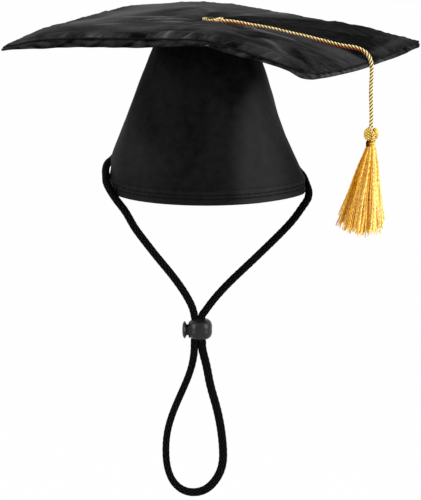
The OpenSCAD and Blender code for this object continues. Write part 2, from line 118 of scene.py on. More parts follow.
class Finish:
    """The material of one kind of surface on the cap, and the nodes in it."""

    def __init__(self, name, tree=None, **fixed):
        if tree is None:
            self.material = bpy.data.materials.new(name)
            self.material.use_nodes = True
            tree = self.material.node_tree
        self.tree = tree
        self.shader = tree.nodes.get("Principled BSDF")
        for socket, value in fixed.items():
            self.feed(self.shader.inputs[socket.replace("_", " ")], value)

    def feed(self, socket, value):
        if isinstance(value, Wire):
            self.tree.links.new(value.socket, socket)
        else:
            socket.default_value = value

    def node(self, kind, settings=(), inputs=(), output=0):
        """Adds a node: its settings first, then values or wires on its sockets."""
        new = self.tree.nodes.new(kind)
        for name, value in dict(settings).items():
            setattr(new, name, value)
        listed = inputs.items() if isinstance(inputs, dict) else enumerate(inputs)
        for socket, value in listed:
            self.feed(new.inputs[socket], value)
        return Wire(self, new.outputs[output])

    def maths(self, operation, *values):
        return self.node("ShaderNodeMath", {"operation": operation}, values)

    def place(self, scale=(1, 1, 1), turn=(0, 0, 0), source="Object"):
        """Places on the piece, stretched and turned: metres, or its own UV map."""
        where = self.node("ShaderNodeTexCoord", output=source)
        return self.node(
            "ShaderNodeMapping", {}, {"Vector": where, "Rotation": turn, "Scale": scale}
        )

    def kept(self, name):
        """A value that the piece holds at each of its points."""
        return self.node("ShaderNodeAttribute", {"attribute_name": name}, output="Fac")

    def noise(self, where, scale, detail=2.0, rough=0.5):
        return self.node(
            "ShaderNodeTexNoise",
            {},
            {"Vector": where, "Scale": scale, "Detail": detail, "Roughness": rough},
        )

    def wave(self, where, scale, direction="X", distortion=0.0):
        return self.node(
            "ShaderNodeTexWave",
            {"bands_direction": direction},
            {"Vector": where, "Scale": scale, "Distortion": distortion},
        )

    def spread(self, value, low, high, to_low=0.0, to_high=1.0):
        """Stretches a value's range low to high over another range."""
        return self.node(
            "ShaderNodeMapRange", {"clamp": True}, [value, low, high, to_low, to_high]
        )

    def blend(self, share, first, second):
        """A colour between two others."""
        return self.node(
            "ShaderNodeMix",
            {"data_type": "RGBA"},
            {0: share, 6: self.colour(first), 7: self.colour(second)},
            output=2,
        )

    def colour(self, value):
        return value if isinstance(value, Wire) else (*value, 1)

    def surface(self, colour=None, rough=None, height=None, depth=0.0001, strength=1.0):
        """Feeds what changes over the surface into the shader."""
        if colour is not None:
            self.feed(self.shader.inputs["Base Color"], colour)
        if rough is not None:
            self.feed(self.shader.inputs["Roughness"], rough)
        if height is not None:
            bump = self.node(
                "ShaderNodeBump",
                {},
                {"Strength": strength, "Distance": depth, "Height": height},
            )
            self.feed(self.shader.inputs["Normal"], bump)
        return self.material


def seen_directly(finish):
    """1 where the camera, a mirror or clear glass looks, and 0 for plain light."""
    camera_ray = finish.node("ShaderNodeLightPath", output="Is Camera Ray")
    kinds = camera_ray.socket.node.outputs
    glossy, clear = (Wire(finish, kinds[k]) for k in ("Is Glossy Ray", "Is Transmission Ray"))
    return finish.maths("MAXIMUM", camera_ray, finish.maths("MAXIMUM", glossy, clear))


bpy.ops.object.select_all(action="DESELECT")
bpy.ops.object.camera_add(
    location=VIEW_CENTRE
    + VIEW_DISTANCE * Vector((0, -math.cos(VIEW_TILT), math.sin(VIEW_TILT))),
    rotation=(math.pi / 2 - VIEW_TILT, 0, 0),
)
camera = bpy.context.object
camera.data.lens = VIEW_LENS
camera.data.sensor_width = 36
camera.data.clip_end = 100
bpy.context.scene.camera = camera
bpy.context.scene.view_settings.view_transform = "Standard"


def soft_lamp(name, place, width, height, power):
    """A large diffuse panel that faces the cap."""
    way = VIEW_CENTRE - Vector(place)
    bpy.ops.object.light_add(
        type="AREA", location=place, rotation=way.to_track_quat("-Z", "Y").to_euler()
    )
    lamp = bpy.context.object
    lamp.name = name
    lamp.data.shape = "RECTANGLE"
    lamp.data.size = width
    lamp.data.size_y = height
    lamp.data.energy = power


soft_lamp("lamp_overhead", (0.0, -0.3, 1.6), 1.6, 1.2, 23)
soft_lamp("lamp_right", (1.5, -0.8, 0.25), 0.7, 1.2, 28)
soft_lamp("lamp_left", (-1.5, -0.7, 0.25), 0.7, 1.2, 20)

bpy.ops.mesh.primitive_plane_add(size=FLOOR_SIDE, location=(0, 0, -FLOOR_DROP))
floor = bpy.context.object
floor.name = "studio_floor"
pale = Finish("pale_floor", Base_Color=(0.86, 0.86, 0.86, 1), Roughness=0.8)
# The floor and the backdrop look white, but light the cap as a dim room would.
GLOW_SHARE = 0.99
ROOM_LIGHT = 0.12
glow = pale.node("ShaderNodeEmission", {}, {"Color": (1, 1, 1, 1), "Strength": 1.0})
shown = pale.node(
    "ShaderNodeMixShader",
    {},
    [seen_directly(pale) * GLOW_SHARE, Wire(pale, pale.shader.outputs[0]), glow],
)
pale.feed(pale.tree.nodes["Material Output"].inputs["Surface"], shown)
floor.data.materials.append(pale.material)

world = bpy.data.worlds.new("studio")
world.use_nodes = True
bpy.context.scene.world = world
sky = Finish("studio", tree=world.node_tree)
backdrop = world.node_tree.nodes["Background"]
sky.feed(backdrop.inputs["Color"], (1, 1, 1, 1))
sky.feed(
    backdrop.inputs["Strength"], seen_directly(sky) * (1 - ROOM_LIGHT) + ROOM_LIGHT
)

# ---- Board: satin top ----
# The square top panel of thin black satin, cut 187 mm a side and drawn over a
# foam sheet. It is stretched from seam to seam, puckers along the sewing,
# creases towards the button, and droops with the foam at both sides.

BOARD_HALF = 92.5
BOARD_TURN = math.radians(22.8)
BOARD_SHIFT = 5.0
BOARD_RIDGE = 100.5
BOARD_DEPTH = 5.0
RIGHT_SLOPE = 0.185
LEFT_SLOPE = 0.04
RIGHT_TWIST = 0.0008
TIP_DROP = 8.0
BACK_DROP = 5.0
BELLY = 2.2
BELLY_START = 40.0
EDGE_DROOP = 2.2
DROOP_START = 48.0
SAG_SHIFT = 20.0
CREASE = 6.0
TIP_REACH = BOARD_HALF * 1.255
TIP_LIFT = 1.7
TIP_START = 105.0
TIP_LENGTH = 11.0
SEAM_DEPTH = 0.5
BUTTON_X = 7.5
BUTTON_R = 7.5


def ease(t):
    """0 below 0, 1 above 1, and a smooth rise between them."""
    k = np.clip(t, 0, 1)
    return k * k * (3 - 2 * k)


def board_xy(u, w):
    """Where in the cap a place on the board is, from its own two directions."""
    x = BOARD_SHIFT + u * math.cos(BOARD_TURN) + w * math.sin(BOARD_TURN)
    return x, -u * math.sin(BOARD_TURN) + w * math.cos(BOARD_TURN)


def board_uw(x, y):
    """The board's own two directions, from a place in the cap."""
    return (
        (x - BOARD_SHIFT) * math.cos(BOARD_TURN) - y * math.sin(BOARD_TURN),
        (x - BOARD_SHIFT) * math.sin(BOARD_TURN) + y * math.cos(BOARD_TURN),
    )


def soft_part(t):
    """The part of t above 0, with a rounded bend in place of the corner at 0."""
    return (t + np.sqrt(t * t + CREASE**2)) / 2


def board_top(u, w):
    """Height of the smooth top of the board, in millimetres."""
    x, y = board_xy(u, w)
    right = soft_part(x) * (RIGHT_SLOPE - RIGHT_TWIST * y)
    left = soft_part(-x) * LEFT_SLOPE + TIP_DROP * (np.maximum(0, -x) / TIP_REACH) ** 8
    back = (np.maximum(0, -u) / BOARD_HALF) ** 2 * np.maximum(0, w) / BOARD_HALF
    middle = np.maximum(0, 1 - (u / BOARD_HALF) ** 8) * np.maximum(
        0, 1 - (w / BOARD_HALF) ** 8
    )
    flat = BOARD_RIDGE + CREASE / 2 * (RIGHT_SLOPE + LEFT_SLOPE)
    sag = np.maximum(0, 1 - ((w + SAG_SHIFT) / (BOARD_HALF + SAG_SHIFT)) ** 2)
    droop = EDGE_DROOP * ease((u - DROOP_START) / (BOARD_HALF - DROOP_START)) * sag
    rise = BELLY * ease(x / BELLY_START) * middle
    return flat - right - left - BACK_DROP * back - droop + rise + edge_lift(u, w)


# u, w, reach and height of each place where the cloth's edge stands up, or hangs
EDGE_LIFTS = [
    (-92, -8, 32, -1.5), (-92, 76, 34, 1.2), (8, 92, 28, -0.8), (64, 92, 34, 0.7),
    (76, -92, 16, 0.7), (92, 92, 18, -0.6),
]


def edge_lift(u, w):
    """How the soft edges of the cloth stand off the even bend of the foam."""
    total = TIP_LIFT * ease((-board_xy(u, w)[0] - TIP_START) / TIP_LENGTH)
    for at_u, at_w, reach, height in EDGE_LIFTS:
        total = total + height * np.exp(-(((u - at_u) ** 2 + (w - at_w) ** 2) / reach**2))
    return total


def board_depth(u, w):
    """Thickness of the board, which is flatter at its left corner than at its right."""
    corner = ease((u * w / BOARD_HALF**2 - 0.72) / 0.28)
    return BOARD_DEPTH * (1 + corner * np.where(u < 0, -0.35, 0.3))


def corner_pull(u, w):
    """The turning rounds the corners, most at the front; the right one is drawn out."""
    reach = np.where(u * w > 0, np.where(u > 0, 0.012, -0.008), -0.028)
    return 1 + reach * (u / BOARD_HALF) ** 8 * (w / BOARD_HALF) ** 8


def fold(x, y, start, end, width, height, bow=0.0):
    """A long soft ridge between two points, or a valley where height is below 0."""
    run, rise = end[0] - start[0], end[1] - start[1]
    length = math.hypot(run, rise)
    t = ((x - start[0]) * run + (y - start[1]) * rise) / length**2
    off = ((x - start[0]) * rise - (y - start[1]) * run) / length
    off = off - bow * np.sin(math.pi * np.clip(t, 0, 1))
    return height * np.exp(-((off / width) ** 2)) * ease((t + 0.1) / 0.35) * ease(
        (1.1 - t) / 0.35
    )


def ripple(x, y, seed, length, height, count=14):
    """Uneven waves of about one length in every direction."""
    rng = np.random.default_rng(seed)
    total = np.zeros_like(x)
    for angle, stretch, phase in rng.uniform(0, 1, (count, 3)):
        way = angle * 2 * math.pi
        k = 2 * math.pi / (length * (0.6 + 0.9 * stretch))
        total += np.sin(
            k * (x * math.cos(way) + y * math.sin(way)) + phase * 2 * math.pi
        )
    return total * height * math.sqrt(2 / count)


# start, end, width, height and bow of each long crease, in the cap's own x and y
LONG_CREASES = [
    ((7, -10), (24, -9), 1.3, 0.95, 0.5),
    ((21, -8), (29, -35), 1.2, 1.25, -1.0),
    ((26, -32), (54, -44), 1.2, 1.2, 0.5),
    ((13, -13), (22, -36), 3.0, -0.6, 0.0),
    ((-56, 23), (-14, 0), 2.2, 0.9, 2.0),
    ((-44, -6), (-8, -27), 2.0, 0.85, 1.5),
    ((-52, -4), (-2, -11), 1.6, 0.85, -1.5),
    ((-36, -13), (-6, -17), 2.6, -0.6, 0.0),
    ((-20, -58), (0, -49), 2.0, 0.6, 0.0),
    ((-17, -51), (0, -33), 2.2, 0.7, 0.0),
    ((-80, -16), (-54, 32), 3.6, 1.0, -3.0),
    ((-60, 24), (-4, 68), 3.8, 1.0, -4.0),
    ((-72, -6), (-46, 26), 4.0, -0.7, -3.0),
    ((-48, 22), (-6, 54), 4.0, -0.6, -3.0),
    ((-70, -22), (-38, -16), 3.2, 0.6, 1.0),
    ((-30, -34), (-12, -42), 3.0, 0.5, 1.0),
    ((10, -48), (30, -74), 3.2, 0.6, 2.0),
    ((30, -56), (46, -92), 3.6, 0.6, 1.0),
    ((52, -46), (86, -52), 4.0, 0.45, 4.0),
    ((46, -60), (58, -100), 4.4, -0.6, 0.0),
    ((60, -18), (98, -8), 4.0, 0.4, 2.0),
    ((16, 12), (54, 62), 5.0, 0.5, -4.0),
    ((4, 20), (-14, 78), 5.0, 0.5, 5.0),
    ((60, 10), (104, 36), 5.0, 0.4, 3.0),
]

BUTTON_CREASES = 11
SMALL_CREASES = 46


def satin_creases(u, w):
    """Long soft creases of the top panel: towards the button and over the foam."""
    x, y = board_xy(u, w)
    away = np.hypot(x - BUTTON_X, y)
    rng = np.random.default_rng(11)
    total = ripple(x, y, 3, 46, 0.2) + ripple(x, y, 4, 17, 0.06)
    for k in range(BUTTON_CREASES):
        angle = 2 * math.pi * (k + rng.uniform(-0.3, 0.3)) / BUTTON_CREASES
        reach = rng.uniform(20, 46)
        way = np.array([math.cos(angle), math.sin(angle)])
        start = np.array([BUTTON_X, 0]) + 8 * way
        height = rng.choice([-0.3, 0.3]) * rng.uniform(0.7, 1.2)
        total += fold(
            x, y, start, start + reach * way, rng.uniform(2.2, 3.8), height,
            rng.uniform(-4, 4),
        )
    for _ in range(SMALL_CREASES):
        middle = rng.uniform(-84, 84, 2)
        slant = rng.normal(0.1, 0.45)
        reach = rng.uniform(5, 15) * np.array([math.cos(slant), math.sin(slant)])
        at = np.array(board_xy(*middle))
        total += fold(
            x, y, at - reach, at + reach, rng.uniform(0.9, 1.9),
            rng.choice([-0.28, 0.34]) * rng.uniform(0.6, 1.3), rng.uniform(-2, 2),
        )
    for start, end, width, height, bow in LONG_CREASES:
        total += fold(x, y, start, end, width, height, bow)
    return total - 1.2 * np.exp(-((away / 10.5) ** 2))


def seam_puckers(u, w):
    """Short creases that the sewing draws into the satin along all four sides. They
    are longest on the front left, where the padding is fullest."""
    rng = np.random.default_rng(5)
    total = np.zeros_like(u)
    for along, inward, fullest in ((u, w, -1), (w, u, 0)):
        for side in (-1, 1):
            place = -BOARD_HALF + 4
            inside = BOARD_HALF - side * inward
            more, fine, slant = (1.3, 0.75, 0.6) if side == fullest else (1.0, 1.0, 0.0)
            while place < BOARD_HALF - 3:
                size = rng.uniform(3.2, 9.5) * more
                lean = rng.uniform(-0.6, 0.6) + slant
                off = (along - place - lean * inside) / (fine * rng.uniform(0.9, 1.9))
                height = rng.choice([-0.3, 0.5]) * rng.uniform(0.4, 1.15)
                total += height * np.exp(-(off**2)) * np.exp(-((inside / size) ** 2))
                place += fine * rng.uniform(2.4, 5.6)
    return total


def front_pillow(u, w):
    """The padding swells beside the front-left seam, less towards the corners."""
    inside = np.maximum(0, BOARD_HALF + w)
    swell = np.exp(-(((inside - 6.5) / 7) ** 2)) * ease(inside / 3)
    return 1.7 * swell * ease((u + BOARD_HALF) / 60) * ease((BOARD_HALF - u) / 30)


def edge_roll(u, w):
    """How far the satin turns down towards the seam, near the board's sides."""
    inside = BOARD_HALF - np.maximum(np.abs(u), np.abs(w))
    return SEAM_DEPTH * np.exp(-((np.maximum(0, inside) / 2.4) ** 1.3))


def points_of(piece):
    """The places of a piece's points, in metres."""
    flat = np.empty(len(piece.data.vertices) * 3)
    piece.data.vertices.foreach_get("co", flat)
    return flat.reshape(-1, 3)


def move_points(piece, points):
    piece.data.vertices.foreach_set("co", np.ascontiguousarray(points).ravel())
    piece.data.update()


def cloth_grid(name, across, along):
    """A flat grid from -1 to 1 each way, to be shaped into a piece."""
    bpy.ops.object.select_all(action="DESELECT")
    bpy.ops.mesh.primitive_grid_add(x_subdivisions=across, y_subdivisions=along, size=2)
    bpy.context.object.name = name
    return bpy.context.object


def finish_with(piece, kind, **settings):
    """Adds a modifier and applies it."""
    modifier = piece.modifiers.new(kind.lower(), kind)
    for name, value in settings.items():
        setattr(modifier, name, value)
    only(piece)
    bpy.ops.object.modifier_apply(modifier=modifier.name)


def edit_mesh(piece, *steps):
    """Runs edit-mode steps on the whole mesh of a piece."""
    only(piece)
    bpy.ops.object.mode_set(mode="EDIT")
    bpy.ops.mesh.select_all(action="SELECT")
    for step in steps:
        step()
    bpy.ops.object.mode_set(mode="OBJECT")
    bpy.ops.object.shade_smooth()


def outward():
    bpy.ops.mesh.normals_make_consistent(inside=False)


def dress(piece, material, slot, body, *nodes):
    """Gives a piece its finish and its place on a body, in the stead of nodes."""
    piece.data.materials.clear()
    piece.data.materials.append(material)
    if nodes:
        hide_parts(*nodes)
    if body:
        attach(piece, body)
    return piece


def shade_by(piece, tone, kind="tone"):
    """Keeps a shade from 0 to 1 at each point, which the piece's finish reads."""
    layers = piece.data.attributes
    layer = layers.get(kind) or layers.new(kind, "FLOAT", "POINT")
    level = np.clip(np.broadcast_to(tone, len(layer.data)), 0, 1)
    layer.data.foreach_set("value", np.ascontiguousarray(level, dtype=np.float32))


def satin(name, dark, light, gloss, weave_turn, cloudy):
    """Black satin: fine slanted weave, cloudy gloss, and the painted light and shade kept at each point."""
    cloth = Finish(name, Specular_IOR_Level=gloss)
    where = cloth.place(turn=(0, 0, weave_turn))
    cloud = cloth.noise(where, 28, 3)
    mottle = cloth.noise(where, 190, 4, 0.65)
    streak = cloth.noise(cloth.place((60, 900, 900), (0, 0, weave_turn)), 1, 2)
    twill = cloth.wave(where, 900, "DIAGONAL", 1.5)
    cross = cloth.wave(where, 1300, "X", 0.8)
    grain = twill * 0.6 + cross * 0.25 + streak * 0.7
    shade = cloth.kept("tone") + cloth.spread(cloud, 0.3, 0.7, -0.06, 0.06)
    shade = shade + cloth.spread(mottle, 0.3, 0.7, -0.09, 0.09)
    colour = cloth.blend(shade + (grain - 0.8) * 0.05, dark, light)
    rough = cloth.spread(cloud, 0.25, 0.75, cloudy[0], cloudy[1]) + grain * 0.04
    return cloth.surface(colour, rough, grain, 0.00005, 0.5)


board_satin = satin(
    "board_satin", (0.003, 0.003, 0.0032), (0.090, 0.090, 0.092), 0.0005, -BOARD_TURN,
    (0.36, 0.52),
)


def board_painted_light(x, y, rise):
    """Painted light and shade on the board's satin: painted brighter on the left and on its creases, and
    painted dark behind the tassel cord, where the cloth's nap turns away from the light."""
    u, w = board_uw(x, y)
    tone = 0.30 + 0.50 * np.exp(-(((u + 69) / 16) ** 2)) * ease((w + 70) / 60)
    tone = tone + 0.30 * ease((w - 36) / 24) * ease((26 - u) / 30) * ease((u + 70) / 20)
    tone = tone - 0.16 * ease((-w - 48) / 28) * ease((u + 40) / 60)
    tone = tone - 0.05 * ease((-w - 74) / 14)
    tone = tone - 0.05 * ease((u - 70) / 16) * ease((60 - w) / 50)
    tone = tone + 0.07 * np.exp(-(((u - 42) / 24) ** 2 + ((w + 14) / 14) ** 2))
    tone = tone + 0.10 * ease((u - 50) / 20) * ease((-w - 50) / 20)
    tone = tone - 0.15 * ease((u - 12) / 24) * ease((-w - 6) / 12) * ease((w + 78) / 22)
    tone = tone - 0.10 * ease((-u - 20) / 30) * ease((-w - 26) / 30)
    tone = tone + 0.20 * ease((-u - 70) / 14) * ease((-w - 46) / 24)
    tone = tone + 0.36 * np.clip(rise, -0.5, 1.4) + 0.9 * np.maximum(0, rise - 0.45)
    # painted shadow in a ring round the button
    from_button = np.hypot(x - BUTTON_X, (y + 1) * 0.9)
    tone = tone - 0.5 * np.exp(-(((from_button - 8.5) / 3.2) ** 2))
    # painted shade behind the tassel cord, less near the right edge
    behind_cord = ((x - 6) * 23 + (y + 6) * 87) / 90
    right_of_button = ((x + 1) * 31 - (y - 12) * 52) / 60.5
    shade_behind_cord = ease(behind_cord / 3) * ease(right_of_button / 4) * (1 - 0.5 * ease((x - 96) / 8))
    margin = 0.16 * np.exp(-(((u - 87) / 2.6) ** 2)) * ease((w - 6) / 26)
    return tone * (1 - 0.93 * shade_behind_cord) + margin


TOP_CELLS = 104
TOP_INSET = 0.3
SATIN = 0.55
SETTLE_STEPS = 18
SETTLE_LIMIT = 0.9
PUCKER_RUN = 0.012
top = cloth_grid("board_top", TOP_CELLS, TOP_CELLS)
flat_uw = points_of(top)[:, :2] * (BOARD_HALF - TOP_INSET)


def top_surface(u, w):
    """The satin's upper face in millimetres, without the puckers along its seams."""
    k = corner_pull(u, w)
    x, y = board_xy(k * u, k * w)
    edge = np.maximum(np.abs(u), np.abs(w)) / BOARD_HALF
    z = board_top(k * u, k * w) - edge_roll(u, w)
    z = z + satin_creases(u, w) * ease((1 - edge) / 0.12) + front_pillow(u, w)
    return np.stack([x, y, z], axis=1)


start = top_surface(flat_uw[:, 0], flat_uw[:, 1])
move_points(top, start * MM)
# The satin is let swell and settle between its seam and the button.
sewn = top.vertex_groups.new(name="sewn")
away = np.hypot(start[:, 0] - BUTTON_X, start[:, 1])
inside = BOARD_HALF - np.max(np.abs(flat_uw), axis=1)
for index in np.nonzero((inside < 1.2) | (away < BUTTON_R))[0]:
    sewn.add([int(index)], 1.0, "REPLACE")
cloth = top.modifiers.new("settle", "CLOTH")
cloth.settings.quality = 6
cloth.settings.mass = 0.12
cloth.settings.tension_stiffness = 12
cloth.settings.compression_stiffness = 12
cloth.settings.shear_stiffness = 6
cloth.settings.bending_stiffness = 0.6
cloth.settings.vertex_group_mass = "sewn"
cloth.settings.shrink_min = -0.012
cloth.settings.use_pressure = True
cloth.settings.uniform_pressure_force = 1.2
cloth.settings.effector_weights.gravity = 0
cloth.point_cache.frame_start = 1
cloth.point_cache.frame_end = 20
for step in range(1, SETTLE_STEPS + 1):
    bpy.context.scene.frame_set(step)
only(top)
bpy.ops.object.modifier_apply(modifier="settle")
bpy.context.scene.frame_set(1)
top.vertex_groups.clear()
settled = points_of(top) / MM
moved = np.clip(settled - start, -SETTLE_LIMIT, SETTLE_LIMIT)
move_points(top, (start + moved) * MM)
edit_mesh(top, lambda: bpy.ops.mesh.subdivide(smoothness=1.0))
top_points = points_of(top) / MM
top_x, top_y = top_points[:, 0], top_points[:, 1]
top_u, top_w = board_uw(top_x, top_y)
top_puckers = seam_puckers(top_u, top_w)
edge = np.maximum(np.abs(top_u), np.abs(top_w)) / BOARD_HALF
top_points[:, 2] += top_puckers * ease((1 - edge) / PUCKER_RUN)
move_points(top, top_points * MM)
# The puckers add to the creases' painted light and shade, more towards the front edge.
gathered = (0.7 + 0.25 * ease((-top_w - 60) / 20)) * top_puckers
shade_by(top, board_painted_light(top_x, top_y, satin_creases(top_u, top_w) + gathered))
finish_with(top, "SOLIDIFY", thickness=SATIN * MM, offset=-1)
edit_mesh(top, outward)
dress(top, board_satin, "board_satin", "cap", "board_top_panel")

# ---- Board: foam sheet ----
# A sheet of open-cell foam, cut a little smaller than the satin, which keeps
# the board in shape. It is closed in all round and not sewn through.

foam_skin = Finish("foam", Specular_IOR_Level=0.3)
cells = foam_skin.node(
    "ShaderNodeTexVoronoi", {}, {"Vector": foam_skin.place(), "Scale": 1400}
)
stains = foam_skin.noise(foam_skin.place(), 60)
tone = foam_skin.blend(stains, (0.74, 0.72, 0.66), (0.88, 0.87, 0.83))
foam_skin.surface(tone, cells * 0.1 + 0.85, cells, 0.0002, 0.8)

PAD_INSET = 2.4
PAD_TOP = 2.1
PAD_FOOT = 1.1
PAD_PINCH = 0.7
pad = cloth_grid("board_pad", 40, 40)
edit_mesh(
    pad,
    lambda: bpy.ops.mesh.extrude_region_move(TRANSFORM_OT_translate={"value": (0, 0, 1)}),
)
pad_grid = points_of(pad)
u, w = pad_grid[:, 0] * (BOARD_HALF - PAD_INSET), pad_grid[:, 1] * (BOARD_HALF - PAD_INSET)
x, y = board_xy(corner_pull(u, w) * u, corner_pull(u, w) * w)
is_upper = pad_grid[:, 2] > 0.5
from_edge = 1 - np.max(np.abs(pad_grid[:, :2]), axis=1)
pinch = PAD_PINCH * np.exp(-((from_edge / 0.02) ** 2))
pad_depth = np.where(is_upper, PAD_TOP + pinch, board_depth(u, w) - PAD_FOOT - pinch)
move_points(pad, np.stack([x, y, board_top(u, w) - pad_depth], axis=1) * MM)
edit_mesh(pad, outward)
dress(pad, foam_skin.material, "foam", "cap", "board_foam")

# ---- Board: underside and side band ----
# The lower satin panel. It turns up round the foam as a narrow side band, and
# is sewn to the top panel along the board's upper edge.

BAND_STEPS = 6
UNDER_CELLS = 74
UNDER_INSET = 0.5
NIP_U = 33.5
NIP_DEPTH = 2.6
under = cloth_grid("board_underside", UNDER_CELLS, UNDER_CELLS)


def raise_band():
    """Raises the outermost edges of the grid step by step into the side band."""
    bpy.ops.mesh.region_to_loop()
    for _ in range(BAND_STEPS):
        bpy.ops.mesh.extrude_edges_move(TRANSFORM_OT_translate={"value": (0, 0, 1)})


edit_mesh(under, raise_band)
under_grid = points_of(under)
rise = under_grid[:, 2] / BAND_STEPS
u, w = under_grid[:, 0] * (BOARD_HALF - UNDER_INSET), under_grid[:, 1] * (BOARD_HALF - UNDER_INSET)
pull = corner_pull(u, w) * (1 + 0.012 * ease((u * w / BOARD_HALF**2 - 0.85) / 0.13))
x, y = board_xy(pull * u, pull * w)

# how far the band stands out, with a fuller swell along the front
along = x * 0.8 - y * 0.6
slump = 0.35 * np.sin(along / 6.1 + 1.1) * np.sin(along / 3.7) + 0.25 * np.sin(along / 2.1)
swell = np.sin(math.pi * np.clip(rise, 0, 1)) ** 0.8
front_rim = ease((-w / BOARD_HALF - 0.9) / 0.09)
front = front_rim * ease((u + 92) / 30) * ease((26 - u) / 34)
outside = (0.9 + 0.9 * front) * swell - 0.35 * rise + 0.2 * slump * swell
way_u = ease((np.abs(under_grid[:, 0]) - 0.985) / 0.015) * np.sign(under_grid[:, 0])
way_w = ease((np.abs(under_grid[:, 1]) - 0.985) / 0.015) * np.sign(under_grid[:, 1])
push_x = way_u * math.cos(BOARD_TURN) + way_w * math.sin(BOARD_TURN)
push_y = -way_u * math.sin(BOARD_TURN) + way_w * math.cos(BOARD_TURN)

# how far below the top the panel lies: slack at the front, nipped in at one place
inside = BOARD_HALF - np.maximum(np.abs(u), np.abs(w))
low = board_depth(u, w) + (2.0 * front - 0.8) * np.exp(-((inside / 2.4) ** 2))
nip = np.exp(-np.abs((u - NIP_U) / 4.5) ** 1.3) * np.exp(-((inside / 6) ** 2))
low = low - NIP_DEPTH * nip * front_rim
low = low - 1.2 * ease((u - 52) / 20) * ease((90 - u) / 8) * front_rim
right_rim = ease((u / BOARD_HALF - 0.9) / 0.09)
low = low + right_rim * (1.2 * ease((w - 30) / 40) + 0.6 * np.exp(-(((w + 80) / 9) ** 2)))
low = low - 2.5 * ease((u - 78) / 13) * ease((w - 72) / 18)
low = low + (ripple(x, y, 8, 30, 0.25) + ripple(x, y, 9, 12, 0.08)) * ease(inside / 9)
low = low + 0.35 * slump * np.exp(-((inside / 3) ** 2)) * (1 - rise)
depth = low + (SEAM_DEPTH + 0.15 - low) * rise
z = board_top(pull * u, pull * w) - depth + seam_puckers(u, w) * 0.5 * np.exp(-inside) * rise
move_points(under, np.stack([x + outside * push_x, y + outside * push_y, z], axis=1) * MM)
edit_mesh(under, outward)
finish_with(under, "SOLIDIFY", thickness=SATIN * MM, offset=-1)
finish_with(under, "SUBSURF", levels=1, render_levels=1)
edit_mesh(under, outward)

# painted light and shade: the right side band painted paler, with a painted dark line in its groove just
# below the seam, and painted light on the puffy front corner
under_x, under_y, under_z = (points_of(under) / MM).T
side_u, side_w = board_uw(under_x, under_y)
below_top = board_top(side_u, side_w) - under_z
band_painted_light = 0.34 - 0.5 * np.exp(-(((below_top - 1.1) / 0.5) ** 2))
shade_by(
    under,
    0.15 + ripple(under_x, under_y + 2 * under_z, 12, 9, 0.09)
    + band_painted_light * (side_u > BOARD_HALF) * ease((120 - under_x) / 20)
    + 0.2 * np.exp(-(((under_x - 58) / 12) ** 2 + ((under_y + 118) / 8) ** 2)),
)
dress(under, board_satin, "board_satin", "cap", "board_bottom_panel")

# ---- Board: edge seam ----
# The line where the two panels are sewn and turned: a thin hard roll of satin
# and thread, pinched in between the puckers.

thread_black = Finish("black_thread", Specular_IOR_Level=0.02)
lay = thread_black.wave(thread_black.place(), 1500, "DIAGONAL", 2.0)
tone = thread_black.blend(lay, (0.002, 0.002, 0.0022), (0.010, 0.010, 0.011))
thread_black.surface(tone, lay * 0.2 + 0.5, lay, 0.00006, 0.6)


def along_line(line):
    """Directions along a line and across it, turning as little as they can."""
    ahead = np.gradient(line, axis=0)
    ahead /= np.linalg.norm(ahead, axis=1)[:, None]
    side = np.empty_like(line)
    across = np.array([0.31, 0.83, 0.46])
    for index, direction in enumerate(ahead):
        across = across - direction * np.dot(across, direction)
        across /= np.linalg.norm(across)
        side[index] = across
    return ahead, side, np.cross(ahead, side)


def distance_along(line):
    """How far each point of a line is from its start, along the line."""
    return np.r_[0, np.cumsum(np.linalg.norm(np.diff(line, axis=0), axis=1))]


def rolled(name, around, rows, place):
    """A grid rolled up into a closed piece by place(turn, row); poles merge."""
    piece = cloth_grid(name, around, rows)
    flat = points_of(piece)
    row = np.rint((flat[:, 1] + 1) / 2 * rows).astype(int)
    move_points(piece, place((flat[:, 0] + 1) * math.pi, row) * MM)
    edit_mesh(piece, lambda: bpy.ops.mesh.remove_doubles(threshold=2e-6), outward)
    return piece


def tube(name, line, sides, thickness, ring=False):
    """A soft tube along a line of points. thickness gives its radius from the
    turn round it and the distance along it. Its ends are closed, or it is a ring."""
    line = np.asarray(line, float)
    _, side, up = along_line(line)
    far = distance_along(line)
    last = len(line) - 1
    pole_row = 0 if ring else 1

    def place(turn, row):
        index = np.clip(row - pole_row, 0, last)
        if ring:
            index = np.where(row == last, 0, index)
        radius = thickness(turn, far[index])
        if not ring:
            radius = radius * ((row > 0) & (row < last + 2))
        reach = np.cos(turn)[:, None] * side[index] + np.sin(turn)[:, None] * up[index]
        return line[index] + radius[:, None] * reach

    return rolled(name, sides, last + 2 * pole_row, place)


WELT_R = 0.42
WELT_STEPS = 150
lap = np.linspace(0, 1, WELT_STEPS + 1)[:-1]
whole = np.ones(WELT_STEPS)
reach = BOARD_HALF + 0.1
edge_u = np.r_[-1 + 2 * lap, whole, 1 - 2 * lap, -whole] * reach
edge_w = np.r_[-whole, -1 + 2 * lap, whole, 1 - 2 * lap] * reach
pull = corner_pull(edge_u, edge_w)
x, y = board_xy(pull * edge_u, pull * edge_w)
pucker = seam_puckers(edge_u, edge_w)
z = board_top(pull * edge_u, pull * edge_w) - SEAM_DEPTH - 0.1 + 0.35 * pucker
welt_line = np.stack([x, y, z], axis=1)
welt = tube(
    "board_edge_seam",
    np.vstack([welt_line, welt_line[:1]]),
    10,
    lambda turn, far: WELT_R * (0.85 + 0.18 * np.sin(far * 2.3) + 0.1 * np.sin(2 * turn)),
    ring=True,
)
dress(welt, thread_black.material, "thread", "cap", "board_seam")

# ---- Skull cap: outer cone ----
# One piece of satin, joined at the back into a cone 27.9 mm in radius under the
# board and 57 mm at the rim. It hangs free, so soft upright folds show in it.

